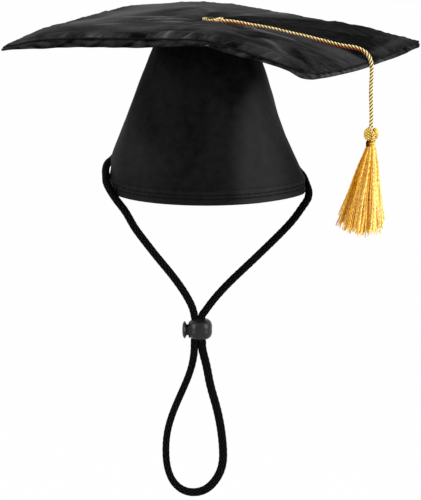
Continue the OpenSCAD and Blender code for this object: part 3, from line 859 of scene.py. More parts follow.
RIM_R = 57.0
CROWN_R = 27.9
CROWN_Z = 92.3
HEM_TOP = 8.0
CONE_SLOPE = (RIM_R - CROWN_R) / (CROWN_Z - HEM_TOP)
ROW_LOW = 3.8
ROW_HIGH = 5.9
ROW_STITCHES = 116


def cone_radius(z):
    """Radius of the outside of the cone; the hem below it stands upright."""
    return RIM_R - CONE_SLOPE * np.maximum(0, z - HEM_TOP) - 0.12 * np.maximum(0, 6 - z) / 6


def facing(turn, degrees, width):
    """1 where the cone faces this way, falling to 0 over the width in degrees."""
    off = (np.degrees(turn) - degrees + 180) % 360 - 180
    return np.maximum(0, 1 - np.abs(off) / width)


def cone_folds(turn, z):
    """Soft folds of the hanging satin, in millimetres outwards."""
    high = np.clip(z / CROWN_Z, 0, 1)
    folds = 0.85 * facing(turn, -71 + 6 * high, 26) ** 1.2
    folds = folds + 0.55 * facing(turn, -128 - 10 * high, 20) ** 1.3 * (1 - 0.6 * high)
    left_swell = ease((z - 6) / 14) * (1 - ease((z - 25) / 75))
    folds = folds + 3.6 * facing(turn, -180, 52) * left_swell
    folds = folds - 2.0 * facing(turn, 0, 44) * np.exp(-(((z - 40) / 18) ** 2))
    folds = folds + 0.7 * facing(turn, 40, 34) + 0.7 * facing(turn, 132, 30)
    round_x, round_y = 50 * np.cos(turn), 50 * np.sin(turn)
    folds = folds + ripple(round_x + 0.3 * z, round_y - 0.4 * z, 21, 44, 0.3)
    folds = folds + ripple(round_x + 0.8 * z, round_y + 0.7 * z, 22, 15, 0.05)
    return (folds - 0.5) * ease((z - 1) / 22) * ease((100 - z) / 14)


def rim_corner(turn, z):
    """The rim's edge is pressed into a blunt corner at the front on the right."""
    bend = 2.9 * facing(turn, -17, 30) ** 1.3 - 0.7 * facing(turn, 12, 26)
    return bend * (1 - ease(z / 34))


def cone_painted_light(x, z):
    """Painted light and shade on the cone's satin: a painted bright plane on the right of its front fold, a
    painted paler patch of sheen low on the left, and painted darkness under the board."""
    fold_x = 19 + 12 * ease((z - 50) / 25)
    edge = cone_radius(z)
    tone = 0.18 + 0.60 * ease((x - fold_x) / 14 + 0.5) * ease((86 - z) / 28)
    tone = tone - 0.56 * ease((x / edge - 0.66) / 0.30)
    tone = tone + 0.07 * ease((9 - z) / 2) * ease((30 - x) / 30)
    tone = tone + 0.28 * np.exp(-(((x + 45) / 20) ** 2 + ((z - 24) / 24) ** 2))
    tone = tone - 0.10 * np.exp(-(((x + 36) / 8) ** 2 + ((z - 40) / 10) ** 2))
    return tone - 0.12 * ease((z - 66) / 20) + ripple(x, 0.5 * z, 31, 26, 0.03)


def hem_sewing(turn, z):
    """The two grooves that the hem's stitches draw in, and the puff between."""
    pulled = 0.5 + 0.5 * np.cos(turn * ROW_STITCHES)
    groove = np.zeros_like(z)
    for row in (ROW_LOW, ROW_HIGH):
        groove = groove - (0.22 + 0.18 * pulled) * np.exp(-(((z - row) / 0.6) ** 2))
    fold_edge = 0.42 * np.exp(-(((z - HEM_TOP - 0.4) / 0.7) ** 2))
    puckers = 0.2 * np.sin(turn * 61 + 2 * np.sin(turn * 7)) * np.exp(-(((z - 8) / 4.5) ** 2))
    return groove + fold_edge + puckers + 0.3 * np.exp(-(((z - 1.6) / 1.2) ** 2))


def under_board(x, y):
    """Height of the board's underside over a place in the cap."""
    return board_top(*board_uw(x, y)) - BOARD_DEPTH


CONE_SIDES = 232
HEM_ROWS = 40
WALL_ROWS = 84
hem_levels = np.linspace(0.35, 10.0, HEM_ROWS)
wall_levels = np.linspace(10.0, CROWN_Z, WALL_ROWS)[1:]
levels = np.r_[hem_levels, wall_levels, CROWN_Z + 1.4, CROWN_Z + 2.6]


def cone_place(turn, row):
    """The cone's wall, turned under at the rim and led up to the board at the top."""
    z = levels[row].copy()
    radius = cone_radius(z) + cone_folds(turn, z) + hem_sewing(turn, z)
    radius = radius + rim_corner(turn, z)
    radius = np.where(z < 1.2, radius - 0.5 * ((1.2 - z) / 0.85) ** 2, radius)
    x, y = radius * np.cos(turn), radius * np.sin(turn)
    ceiling = under_board(x, y) - 0.15
    pleats = 0.35 * np.sin(turn * 27 + 3 * np.sin(turn * 4)) * ease((z - 80) / 14)
    raised = z + (ceiling - CROWN_Z - 2.6) * ease((z - CROWN_Z + 4) / 6.6)
    z = np.where(z > CROWN_Z - 4, raised, z)
    wider = 1 + pleats / CROWN_R * 0.6
    return np.stack([x * wider, y * wider, z], axis=1)


skull_satin = satin(
    "skull_satin", (0.0025, 0.0025, 0.0028), (0.032, 0.032, 0.034), 0.008, 0.0, (0.42, 0.56)
)
cone = rolled("skull_cone", CONE_SIDES, len(levels) - 1, cone_place)
cone_x, cone_y, cone_z = (points_of(cone) / MM).T
# painted shade: the back of the cone is painted darker than its front
shade_by(cone, cone_painted_light(cone_x, cone_z) * np.where(cone_y < 20, 1, 0.7))
finish_with(cone, "SOLIDIFY", thickness=0.8 * MM, offset=-1)
edit_mesh(cone, outward)
dress(cone, skull_satin, "skull_satin", "cap", "skull_panel")

# ---- Skull cap: hem ----
# The rim's edge of the same satin, turned up 8 mm inside over the lining and
# held there by two rows of stitches.

# radius and height round the hem's section, from outside under the edge to inside
HEM_OUTLINE = np.array([
    (56.3, 1.4), (56.75, 0.8), (56.6, 0.25), (56.1, 0.0), (55.5, 0.0), (54.9, 0.15),
    (54.45, 0.6), (54.4, 1.6), (54.4, 3.0), (54.5, 3.8), (54.4, 4.8), (54.5, 5.9),
    (54.4, 7.0), (54.45, 7.8), (54.9, 8.1), (55.25, 7.8), (55.3, 6.0), (55.3, 1.6),
])


def hem_place(turn, row):
    """The hem's section led round the rim, with slight waves in the turned-up part."""
    spot = HEM_OUTLINE[row % len(HEM_OUTLINE)]
    wave = 0.12 * np.sin(turn * 31 + 2 * np.sin(turn * 5)) * ease((spot[:, 1] - 1) / 4)
    radius = spot[:, 0] + wave + rim_corner(turn, spot[:, 1])
    return np.stack([radius * np.cos(turn), radius * np.sin(turn), spot[:, 1]], axis=1)


hem = rolled("skull_hem_fold", CONE_SIDES, len(HEM_OUTLINE), hem_place)
shade_by(hem, 0.2)
dress(hem, skull_satin, "skull_satin", "cap", "skull_hem")

# ---- Skull cap: hem stitches ----
# Two rows of lockstitch in black thread, 116 stitches each. They go through the
# cone's satin, the lining and the turned-up hem.


def stitch(name, length, radius):
    """One short stitch along X, bowed, with both ends dipping into the cloth."""
    k = np.linspace(-1, 1, 7)
    line = np.stack([k * length / 2, 0 * k, -1.3 * radius * np.abs(k) ** 3], axis=1)
    return tube(name, line, 6, lambda turn, far: radius * (1 + 0.08 * np.cos(2 * turn)))


def repeat(name, model, places):
    """Copies of one shape at each place, joined into one piece. Each place is an
    origin in millimetres and the directions of its X and Z."""
    copies = []
    base = points_of(model)
    for origin, ahead, outer in places:
        copy = model.copy()
        copy.data = model.data.copy()
        bpy.context.collection.objects.link(copy)
        across = np.cross(outer, ahead)
        turned = base @ np.stack([ahead, across, outer])
        move_points(copy, turned + np.array(origin) * MM)
        copies.append(copy)
    only(*copies)
    bpy.ops.object.join()
    joined = bpy.context.object
    joined.name = name
    bpy.data.objects.remove(model)
    return joined


def row_places(z):
    """Where each stitch of one row lies on the hem."""
    for index in range(ROW_STITCHES):
        turn = 2 * math.pi * (index + 0.5) / ROW_STITCHES
        spin = np.array([turn])
        level = np.array([z])
        radius = cone_radius(level) + cone_folds(spin, level) + hem_sewing(spin, level)
        radius = radius + rim_corner(spin, level)
        outer = np.array([math.cos(turn), math.sin(turn), 0])
        ahead = np.array([-math.sin(turn), math.cos(turn), 0.06])
        yield outer * (radius[0] + 0.2) + (0, 0, z), ahead, outer


for name, z, node in (
    ("hem_stitches_lower", ROW_LOW, "hem_stitch_lower"),
    ("hem_stitches_upper", ROW_HIGH, "hem_stitch_upper"),
):
    row = repeat(name, stitch("stitch", 2.5, 0.2), list(row_places(z)))
    dress(row, thread_black.material, "thread", "cap", node)

# ---- Skull cap: back seam ----
# The join of the cone, felled flat: a narrow raised strip down the back with a
# row of stitches along each edge.

FELL_WIDTH = 5.0
FELL_LOW = 8.6
FELL_HIGH = 89.3
FELL_ROWS = 60
FELL_PITCH = 2.7
FELL_STITCH_OUT = 1.75


def fell_place(turn, row):
    """The strip's flat section, with a rounded outer face, led down the cone."""
    across = np.cos(turn) * FELL_WIDTH / 2
    z = FELL_LOW + (FELL_HIGH - FELL_LOW) * row / FELL_ROWS
    angle = math.pi / 2 - across / cone_radius(z)
    pulled = 0.15 * np.cos(z * 2.4) * np.abs(np.cos(turn)) ** 2
    lift = 0.62 * np.maximum(0, np.sin(turn)) ** 0.5 * (1 - pulled) - 0.3
    lift = np.where(np.sin(turn) > 0, lift, -0.3)
    radius = cone_radius(z) + cone_folds(angle, z) + lift
    return np.stack([radius * np.cos(angle), radius * np.sin(angle), z], axis=1)


def capped(place, rows):
    """The same placing, with the first and last row drawn in to close the ends."""

    def closed(turn, row):
        inner = np.clip(row - 1, 0, rows)
        spots = place(turn, inner)
        for end, level in ((0, 0), (rows + 2, rows)):
            at_end = row == end
            if at_end.any():
                spots[at_end] = spots[inner == level].mean(axis=0)
        return spots

    return closed


fell = rolled("back_seam_fell", 24, FELL_ROWS + 2, capped(fell_place, FELL_ROWS))
shade_by(fell, 0.22)
dress(fell, skull_satin, "skull_satin", "cap", "skull_back_seam")

fell_spots = []
for side in (-1, 1):
    for z in np.arange(FELL_LOW + 1.6, FELL_HIGH - 1, FELL_PITCH):
        angle = np.array([math.pi / 2 + side * FELL_STITCH_OUT / cone_radius(z)])
        radius = cone_radius(z) + cone_folds(angle, np.array([z]))[0] + 0.36
        outer = np.array([math.cos(angle[0]), math.sin(angle[0]), CONE_SLOPE])
        outer /= np.linalg.norm(outer)
        ahead = np.array([0, 0, 1.0]) - outer * outer[2]
        ahead /= np.linalg.norm(ahead)
        fell_spots.append((
            (radius * math.cos(angle[0]), radius * math.sin(angle[0]), z), ahead, outer
        ))
fell_row = repeat("back_seam_stitches", stitch("stitch", 2.0, 0.18), fell_spots)
dress(fell_row, thread_black.material, "thread", "cap")

# ---- Skull cap: crown ----
# Where the cone's top edge is turned in and sewn to the board: a flat ring of
# gathered satin, over a round of stiff interlining board.

CROWN_HOLE_R = 19.2
CROWN_WIDTH = 7.6
# share of the ring's width, and 1 on its upper side, round the ring's section
CROWN_OUTLINE = np.array([
    (0, 1), (0, 1), (0.35, 1), (0.7, 1), (1, 1), (1, 0), (1, 0), (0.7, 0), (0.35, 0),
])


def crown_place(turn, row):
    """The pleated ring between the cone's top edge and the board over it."""
    out, is_upper = CROWN_OUTLINE[row % len(CROWN_OUTLINE)].T
    radius = CROWN_HOLE_R + out * CROWN_WIDTH
    x, y = radius * np.cos(turn), radius * np.sin(turn)
    pleat = 0.3 * np.sin(turn * 34 + 2 * np.sin(turn * 5)) * out
    high = under_board(x, y) - 0.35
    low = CROWN_Z + 0.1 + np.abs(pleat)
    return np.stack([x, y, np.where(is_upper > 0.5, high, low)], axis=1)


gathers = rolled("crown_gathers", 204, len(CROWN_OUTLINE), crown_place)
shade_by(gathers, 0.1)
dress(gathers, skull_satin, "skull_satin", "cap", "crown_seam")

board_stock = Finish("crown_board", Specular_IOR_Level=0.25)
fibre = board_stock.noise(board_stock.place((300, 300, 40)), 1.4, 4, 0.7)
tone = board_stock.blend(fibre, (0.27, 0.25, 0.22), (0.43, 0.40, 0.35))
board_stock.surface(tone, fibre * 0.15 + 0.75, fibre, 0.0001, 0.4)


def refinish(node, material):
    """Gives a node of the frame that stays in sight its own finish."""
    shown = frame["nodes"][node]
    shown.data.materials.clear()
    shown.data.materials.append(material)


refinish("crown_disc", board_stock.material)

# ---- Skull cap: lining ----
# Plain woven black lining inside the cone and across its top. It hangs a little
# inside the satin, and its lower edge is caught in the hem.

lining_cloth = Finish("lining", Specular_IOR_Level=0.25, Sheen_Weight=0.05)
where = lining_cloth.place()
weft = lining_cloth.wave(where, 700, "Z", 0.5)
warp = lining_cloth.wave(where, 700, "X", 0.5)
weave = weft * 0.5 + warp * 0.5
cloud = lining_cloth.noise(where, 40, 3)
tone = lining_cloth.blend(cloud, (0.012, 0.012, 0.013), (0.03, 0.03, 0.032))
lining_cloth.surface(tone, weave * 0.15 + 0.6, weave, 0.00008, 0.5)

LINING_WALL = 60
LINING_TOP = 12
LINING_FOOT = 4.6
LINING_CEILING = 90.5


def lining_place(turn, row):
    """The lining's wall, from the hem up, and then its round top, in to the middle."""
    high = np.clip(row / LINING_WALL, 0, 1)
    z = LINING_FOOT + (LINING_CEILING - LINING_FOOT) * high
    radius = cone_radius(z) - 1.15 + np.minimum(0, cone_folds(turn, z)) + rim_corner(turn, z)
    radius = radius - 0.25 * (0.5 + 0.5 * np.sin(turn * 9 + z / 9)) * ease(high / 0.3)
    inward = np.clip((row - LINING_WALL) / LINING_TOP, 0, 1)
    radius = radius * (1 - inward)
    z = z - 0.3 * np.sin(inward * math.pi) * (1 + 0.5 * np.sin(turn * 7))
    return np.stack([radius * np.cos(turn), radius * np.sin(turn), z], axis=1)


lining = rolled("skull_lining_cloth", 192, LINING_WALL + LINING_TOP, lining_place)
finish_with(lining, "SOLIDIFY", thickness=0.45 * MM, offset=-1)
edit_mesh(lining, outward)
dress(lining, lining_cloth.material, "lining", "cap", "skull_lining")

# ---- Button ----
# A pressed and blackened metal button 15 mm across, on a flat back with a shank.
# The same satin covers it and is gathered round its rim, and waxed thread ties
# it down to the crown.

BUTTON_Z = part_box("button_cover")[0][2] / MM
BUTTON_DOME = 2.2
BUTTON_ROWS = 23


def button_place(turn, row):
    """The domed satin cover, gathered at its rim and turned under it."""
    share = np.clip((row - 1) / (BUTTON_ROWS - 1), 0, 1)
    swing = share * math.pi / 2
    radius = BUTTON_R * np.cos(swing) ** 0.8
    rim = np.exp(-((share / 0.25) ** 2))
    gather = 0.14 * np.sin(turn * 19 + 2 * np.sin(turn * 3)) * rim
    radius = np.where(row == 0, BUTTON_R - 1.3, radius + gather)
    z = BUTTON_DOME * np.sin(swing) ** 1.15 + 0.1 * np.sin(turn * 3 + 1) * (1 - share)
    z = np.where(row == 0, 0.1, z + 0.05)
    x, y = BUTTON_X + radius * np.cos(turn), radius * np.sin(turn)
    return np.stack([x, y, BUTTON_Z + z], axis=1)


button = rolled("button_satin", 114, BUTTON_ROWS, button_place)
finish_with(button, "SOLIDIFY", thickness=0.3 * MM, offset=-1)
edit_mesh(button, outward)
# painted light on the button's satin: lighter towards its right and round its lower rim
right, _, high = (points_of(button) / MM - (BUTTON_X, 0, BUTTON_Z)).T
shade_by(button, 0.34 + 0.03 * right + 0.25 * (high < 0.5 * BUTTON_DOME))
dress(button, skull_satin, "skull_satin", "cap", "button_cover")

pressed_metal = Finish("button_metal", Metallic=0.8)
scuffs = pressed_metal.noise(pressed_metal.place((200, 200, 900)), 3, 3)
tone = pressed_metal.blend(scuffs, (0.03, 0.03, 0.032), (0.06, 0.06, 0.062))
pressed_metal.surface(tone, scuffs * 0.25 + 0.25, scuffs, 0.00003, 0.3)
refinish("button_shell", pressed_metal.material)
refinish("button_back", pressed_metal.material)


def even(radius):
    """The thickness of a tube that is the same all over."""
    return lambda turn, far: radius + 0 * turn


def plies(name, line, strands, ply_r, offset, pitch, sides=8):
    """Strands laid round a line in a twist, joined into one rope."""
    _, side, up = along_line(line)
    far = distance_along(line)
    made = []
    for strand in range(strands):
        turn = 2 * math.pi * (far / pitch + strand / strands)
        path = line + offset * (np.cos(turn)[:, None] * side + np.sin(turn)[:, None] * up)
        made.append(tube("ply", path, sides, even(ply_r)))
    only(*made)
    bpy.ops.object.join()
    rope = bpy.context.object
    rope.name = name
    return rope


def shade_out_from(piece, line, low, high, underside=0.0):
    """Paints shade on a piece by distance from its centre line: 0 in its crevices, 1 outside. The lower side
    may be painted ruddy, where light comes only through the yarn itself."""
    near = KDTree(len(line))
    for index, point in enumerate(line):
        near.insert(point, index)
    near.balance()
    spots = points_of(piece) / MM
    found = [near.find(spot) for spot in spots]
    far = np.array([distance for _, _, distance in found])
    shade_by(piece, (far - low) / (high - low))
    if underside:
        below = np.array([point[2] for point, _, _ in found]) - spots[:, 2]
        level = 1 - np.abs(along_line(line)[0][[index for _, index, _ in found], 2])
        shade_by(piece, underside * ease(1.8 * below / high + 1.0) * ease(level / 0.6), "under")


def straight(low, high, count):
    """Points evenly spaced from one place to another."""
    k = np.linspace(0, 1, count)[:, None]
    return np.array(low) * (1 - k) + np.array(high) * k


thread_low, thread_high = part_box("button_thread")
tie_line = straight(
    (BUTTON_X, 0, thread_low[2] / MM), (BUTTON_X, 0, thread_high[2] / MM - 0.1), 40
)
tie = plies("button_tie", tie_line, 3, 0.46, 0.5, 5.0)
dress(tie, thread_black.material, "thread", "cap", "button_thread")


def knot_line(centre, size, squash=1.0, tilt=0.0, count=97):
    """The closed path of a simple overhand knot drawn up tight."""
    t = np.linspace(0, 2 * math.pi, count)
    x = np.sin(t) + 2 * np.sin(2 * t)
    y = np.cos(t) - 2 * np.cos(2 * t)
    z = -1.3 * np.sin(3 * t) * squash
    turned = x * math.cos(tilt) - z * math.sin(tilt), x * math.sin(tilt) + z * math.cos(tilt)
    return np.stack([turned[0], y, turned[1]], axis=1) * size / 3 + np.array(centre)


knot_low, knot_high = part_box("button_thread_knot")
knot_middle = [(low + high) / 2 / MM for low, high in zip(knot_low, knot_high)]
tie_knot = tube("button_tie_knot", knot_line(knot_middle, 1.25), 8, even(0.62), ring=True)
dress(tie_knot, thread_black.material, "thread", "cap", "button_thread_knot")

# ---- Tassel cord ----
# Shiny gold rayon cord, 2.2 mm, three strands twisted. It circles under the
# button, is knotted in front of it, and runs over the board's right side.

GOLD_R = 1.1
GOLD_PITCH = 6.3
GOLD_PLY = 0.6
GOLD_LAY = 0.68
KNOT_U = 4.6
KNOT_W = -6.9
LIP_W = 8.3
LYING_SHARE = 0.74
BLEND_HALF = 0.0028


def gold(name, deep, mid, light, grain_scale, bump, fullness):
    """Gold rayon yarn: fine slanted fibres, with painted light outside, painted shade deep in its crevices,
    a painted ruddy lower side and a faint painted glow.
    """
    # The faint glow in the yarn's own colour is painted light, standing in for light that passes through the
    # yarn.
    yarn = Finish(name, Specular_IOR_Level=0.03, Emission_Strength=0.1)
    fibres = yarn.wave(yarn.place(grain_scale, source="UV"), 1.0, "DIAGONAL", 1.2)
    patches = yarn.noise(yarn.place(), 260, 3)
    outside = yarn.kept("tone")
    tone = yarn.blend(outside * (0.4 + 0.95 * fibres), mid, light)
    depth = outside * (1.15 - fullness) + yarn.spread(patches, 0.3, 0.7, -0.12, 0.12) + fullness
    tone = yarn.blend(depth, deep, tone)
    # The ruddy colour is painted shade on the lower side, where only light through the yarn reaches.
    ruddy = yarn.blend(outside, (0.03, 0.005, 0.002), (0.52, 0.11, 0.03))
    tone = yarn.blend(yarn.kept("under"), tone, ruddy)
    yarn.feed(yarn.shader.inputs["Emission Color"], tone)
    yarn.surface(tone, fibres * 0.15 + 0.35, fibres, 0.00012, bump)
    return yarn.material


gold_cord = gold(
    "gold_cord", (0.03, 0.01, 0.001), (0.80, 0.43, 0.05), (1.0, 0.93, 0.54), (3, 60, 1), 0.5, 0.0
)


def curve_through(points, step):
    """A smooth curve (a natural cubic spline) through the points, as points a small
    step apart."""
    p = np.array(points, float)
    count = len(p)
    t = distance_along(p)
    gap = np.diff(t)
    a = np.eye(count)
    b = np.zeros((count, 3))
    for i in range(1, count - 1):
        a[i, i - 1 : i + 2] = gap[i - 1], 2 * (gap[i - 1] + gap[i]), gap[i]
        b[i] = 6 * ((p[i + 1] - p[i]) / gap[i] - (p[i] - p[i - 1]) / gap[i - 1])
    bend = np.linalg.solve(a, b)
    s = np.linspace(0, t[-1], int(t[-1] * 12) + 2)
    i = np.clip(np.searchsorted(t, s, "right") - 1, 0, count - 2)
    h, k = gap[i][:, None], ((s - t[i]) / gap[i])[:, None]
    curve = (
        p[i] * (1 - k) + p[i + 1] * k
        + h * h / 6 * (((1 - k) ** 3 - (1 - k)) * bend[i] + (k**3 - k) * bend[i + 1])
    )
    return evenly(curve, step)


def evenly(line, step):
    """The same line, as points about one step apart."""
    far = distance_along(line)
    places = np.linspace(0, far[-1], max(2, int(round(far[-1] / step)) + 1))
    return np.stack([np.interp(places, far, line[:, k]) for k in range(3)], axis=1)


def on_board(u, w, lift):
    """A place over the board's satin. A cord there bridges the cloth's hollows."""
    u, w = np.array([float(u)]), np.array([float(w)])
    spot = top_surface(u, w)[0]
    smooth = board_top(u, w)[0]
    z = max(spot[2], smooth - 0.9) * 0.6 + smooth * 0.4
    return np.array([spot[0], spot[1], z + lift])


edge_out = np.array([math.cos(BOARD_TURN), -math.sin(BOARD_TURN), 0])
edge_along = np.array([math.sin(BOARD_TURN), math.cos(BOARD_TURN), 0])
swing_at, head_swing = (
    np.array(next(j for j in frame["joints"] if j["name"] == name)["pos_m"]) / MM
    for name in ("tassel_swing", "tassel_side_swing")
)
lip = swing_at - 2 * edge_out + (0, 0, BOARD_DEPTH)
run_out, run_along = BOARD_HALF - KNOT_U, LIP_W - KNOT_W
gold_route = []
for share in np.linspace(0, LYING_SHARE, 10):
    rest = GOLD_R - 0.1 + 1.3 * ease((share - 0.5) / 0.3)
    spot = on_board(KNOT_U + run_out * share, KNOT_W + run_along * share, rest)
    gold_route.append(spot + np.array([0, 0.5 * math.sin(9 * share), 0]))
# The stiff cord leaves the board before its edge and bends over it in an arch.
for out, high in ((-14.3, 6.3), (-5.9, 5.0), (-1.4, 2.5), (1.15, -1.2), (2.0, -6.5)):
    gold_route.append(
        lip + out * edge_out + min(0, out) * run_along / run_out * edge_along + (0, 0, high)
    )
gold_route += [
    swing_at - (0, 0, 6), swing_at - (0.25, 0, 16), swing_at - (-0.1, 0, 27),
    head_swing - (0, 0, 1.0),
]
gold_line = curve_through(gold_route, 0.45)
rope = plies("tassel_rope", gold_line, 3, GOLD_PLY, GOLD_LAY, GOLD_PITCH, sides=9)
shade_out_from(rope, gold_line, 1.06, 1.27, 0.92)
dress(rope, gold_cord, "gold_cord", None, "tassel_cord_top", "tassel_cord_drop")
bend_top = swing_at * MM + np.array([0, 0, BLEND_HALF])
bend_end = swing_at * MM - np.array([0, 0, BLEND_HALF])
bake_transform(rope, "cap", "tassel_cord", start=tuple(bend_top), end=tuple(bend_end))

# places round the button's middle, from the knot and back to it
SHANK_LOOP = [
    (-2.2, -8.0), (-4.2, -7.3), (-6.6, -6.0), (-8.3, -4.0), (-8.8, -1.6), (-8.3, 0.8),
    (-6.4, 2.6), (-3, 3.5), (0.6, 3.7), (3.3, 2.6), (4.5, 0.2), (4.1, -2.8), (2.6, -5.6),
]
LOOP_SIZE = 0.8
shank_route = []
for off_x, off_y in SHANK_LOOP:
    spot_u, spot_w = board_uw(BUTTON_X + off_x, off_y)
    shank_route.append(on_board(spot_u, spot_w, GOLD_R - 0.3))
shank_line = curve_through(shank_route, 0.4)
shank_loop = plies(
    "tassel_loop_rope", shank_line, 3,
    LOOP_SIZE * GOLD_PLY, LOOP_SIZE * GOLD_LAY, LOOP_SIZE * GOLD_PITCH,
)
shade_out_from(shank_loop, shank_line, 0.85, 1.01, 0.8)
dress(shank_loop, gold_cord, "gold_cord", "cap", "tassel_loop")

knot_at = on_board(KNOT_U, KNOT_W, 1.7)
knot_path = knot_line(knot_at, 2.1, 0.6, 0.3, 121)
knot_path[:, 0] = knot_at[0] + 1.7 * (knot_path[:, 0] - knot_at[0])
top_knot = plies("tassel_top_knot", knot_path, 2, 0.52, 0.42, 3.6)
shade_out_from(top_knot, knot_path, 0.5, 0.92, 0.8)
dress(top_knot, gold_cord, "gold_cord", "cap", "tassel_loop_knot")

# ---- Tassel ----
# The cord is doubled into a hard two-lobed knot, wrapped tight at the neck, and
# a skirt of 250 loose rayon yarns hangs from it, trimmed unevenly.

head_low, head_high = (np.array(corner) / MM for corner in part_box("tassel_head"))
head_at = (head_low + head_high) / 2


LOBE_ROWS = 36


def head_lobe(centre, size, seed, lean):
    """A tight lobe of wound cord: a ball with slanting wraps pulled into it."""

    def place(turn, row):
        at_pole = (row == 0) | (row == LOBE_ROWS)
        high = np.clip((row - 1) / (LOBE_ROWS - 2), 0, 1) * math.pi
        winding = np.abs(np.sin(turn * 2.5 + high * 7.5 + lean + seed)) ** 0.7
        winding = winding * (0.62 + 0.38 * np.sin(turn * 8 - high * 13 + seed))
        fine = 0.06 * np.sin(turn * 22 + high * 30)
        r = (0.82 + 0.2 * winding + fine * 0.5) * np.where(at_pole, 0, 1)
        x = size[0] * r * np.sin(high) * np.cos(turn)
        y = size[1] * r * np.sin(high) * np.sin(turn)
        z = size[2] * np.cos(high) * np.where(at_pole, 0.86, r)
        turned = x * math.cos(lean) + z * math.sin(lean), z * math.cos(lean) - x * math.sin(lean)
        return np.stack([turned[0], y, turned[1]], axis=1) + np.array(centre)

    lobe = rolled("lobe", 56, LOBE_ROWS, place)
    off = (points_of(lobe) / MM - np.array(centre)) / np.array(size)
    # painted shade: the lobe is painted dark in the hollows between its wraps and pale on their tops
    shade_by(lobe, (np.linalg.norm(off, axis=1) - 0.82) / 0.17)
    return lobe


gold_yarn = gold(
    "gold_yarn", (0.42, 0.15, 0.004), (1.0, 0.49, 0.012), (1.0, 0.90, 0.36), (1.3, 18, 1), 0.5, 0.4
)
gold_knot = gold(
    "gold_knot", (0.14, 0.03, 0.002), (0.95, 0.45, 0.02), (1.0, 0.88, 0.30), (1.3, 18, 1), 0.5, 0.05
)
lobes = [
    head_lobe(head_at + (-1.1, -0.3, 0.0), (3.3, 3.3, 4.0), 0.0, -0.15),
    head_lobe(head_at + (2.1, 0.5, 0.1), (2.4, 2.9, 3.8), 1.4, 0.2),
]
STRAP_BENDS = [
    (-1.6, 0.6, 3.6), (-0.3, -2.2, 2.9), (0.9, -3.2, 0.8), (1.3, -3.1, -1.4), (0.7, -2.3, -3.6),
]
strap_line = curve_through([head_at + bend for bend in STRAP_BENDS], 0.3)
strap = plies("strap", strap_line, 2, 0.55, 0.4, 3.4)
shade_out_from(strap, strap_line, 0.5, 1.0)
lobes.append(strap)
only(*lobes)
bpy.ops.object.join()
head_knot = bpy.context.object
head_knot.name = "tassel_head_knot"
dress(head_knot, gold_knot, "gold_yarn", "tassel", "tassel_head")

neck_low, neck_high = (np.array(corner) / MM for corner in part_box("tassel_neck_band"))
neck_at = (neck_low + neck_high) / 2
NECK_TURNS = 6
NECK_R = 2.35
NECK_ROWS = 8
wrapped = np.linspace(0, 1, 60 * NECK_TURNS)
spin = 2 * math.pi * NECK_TURNS * wrapped
wrap_r = 2.5 + 0.1 * np.sin(spin * 0.31)
wrap_line = np.stack([
    neck_at[0] + wrap_r * np.cos(spin),
    neck_at[1] + wrap_r * np.sin(spin),
    neck_low[2] + 0.4 + (neck_high[2] - neck_low[2] - 0.7) * wrapped,
], axis=1)
wrap = tube("tassel_neck_wrap", wrap_line, 8, even(0.42))
# painted light and shade: the wrap is painted pale on the tops of its turns and lighter to the right, with a
# painted ruddy shade on its left side
right, back, _ = (points_of(wrap) / MM - neck_at).T
shade_by(wrap, np.hypot(right, back) / 0.6 - 4.5 + 0.2 * right)
shade_by(wrap, 0.9 * ease((-0.3 - right) / 1.6), "under")


def core_place(turn, row):
    """A plain bar inside the wrap, 1 mm longer than the neck at either end."""
    share = np.clip(row - 1, 0, NECK_ROWS - 2) / (NECK_ROWS - 2)
    z = neck_low[2] - 1 + (neck_high[2] - neck_low[2] + 2) * share
    r = np.where((row == 0) | (row == NECK_ROWS), 0, NECK_R)
    return np.stack([neck_at[0] + r * np.cos(turn), neck_at[1] + r * np.sin(turn), z], axis=1)


core = rolled("core", 32, NECK_ROWS, core_place)
# painted deepest shade on the core, which shows between the wrap's turns
shade_by(core, 0)
only(core, wrap)
bpy.ops.object.join()
wrap = bpy.context.object
wrap.name = "tassel_neck_wrap"
dress(wrap, gold_knot, "gold_yarn", "tassel", "tassel_neck_band")

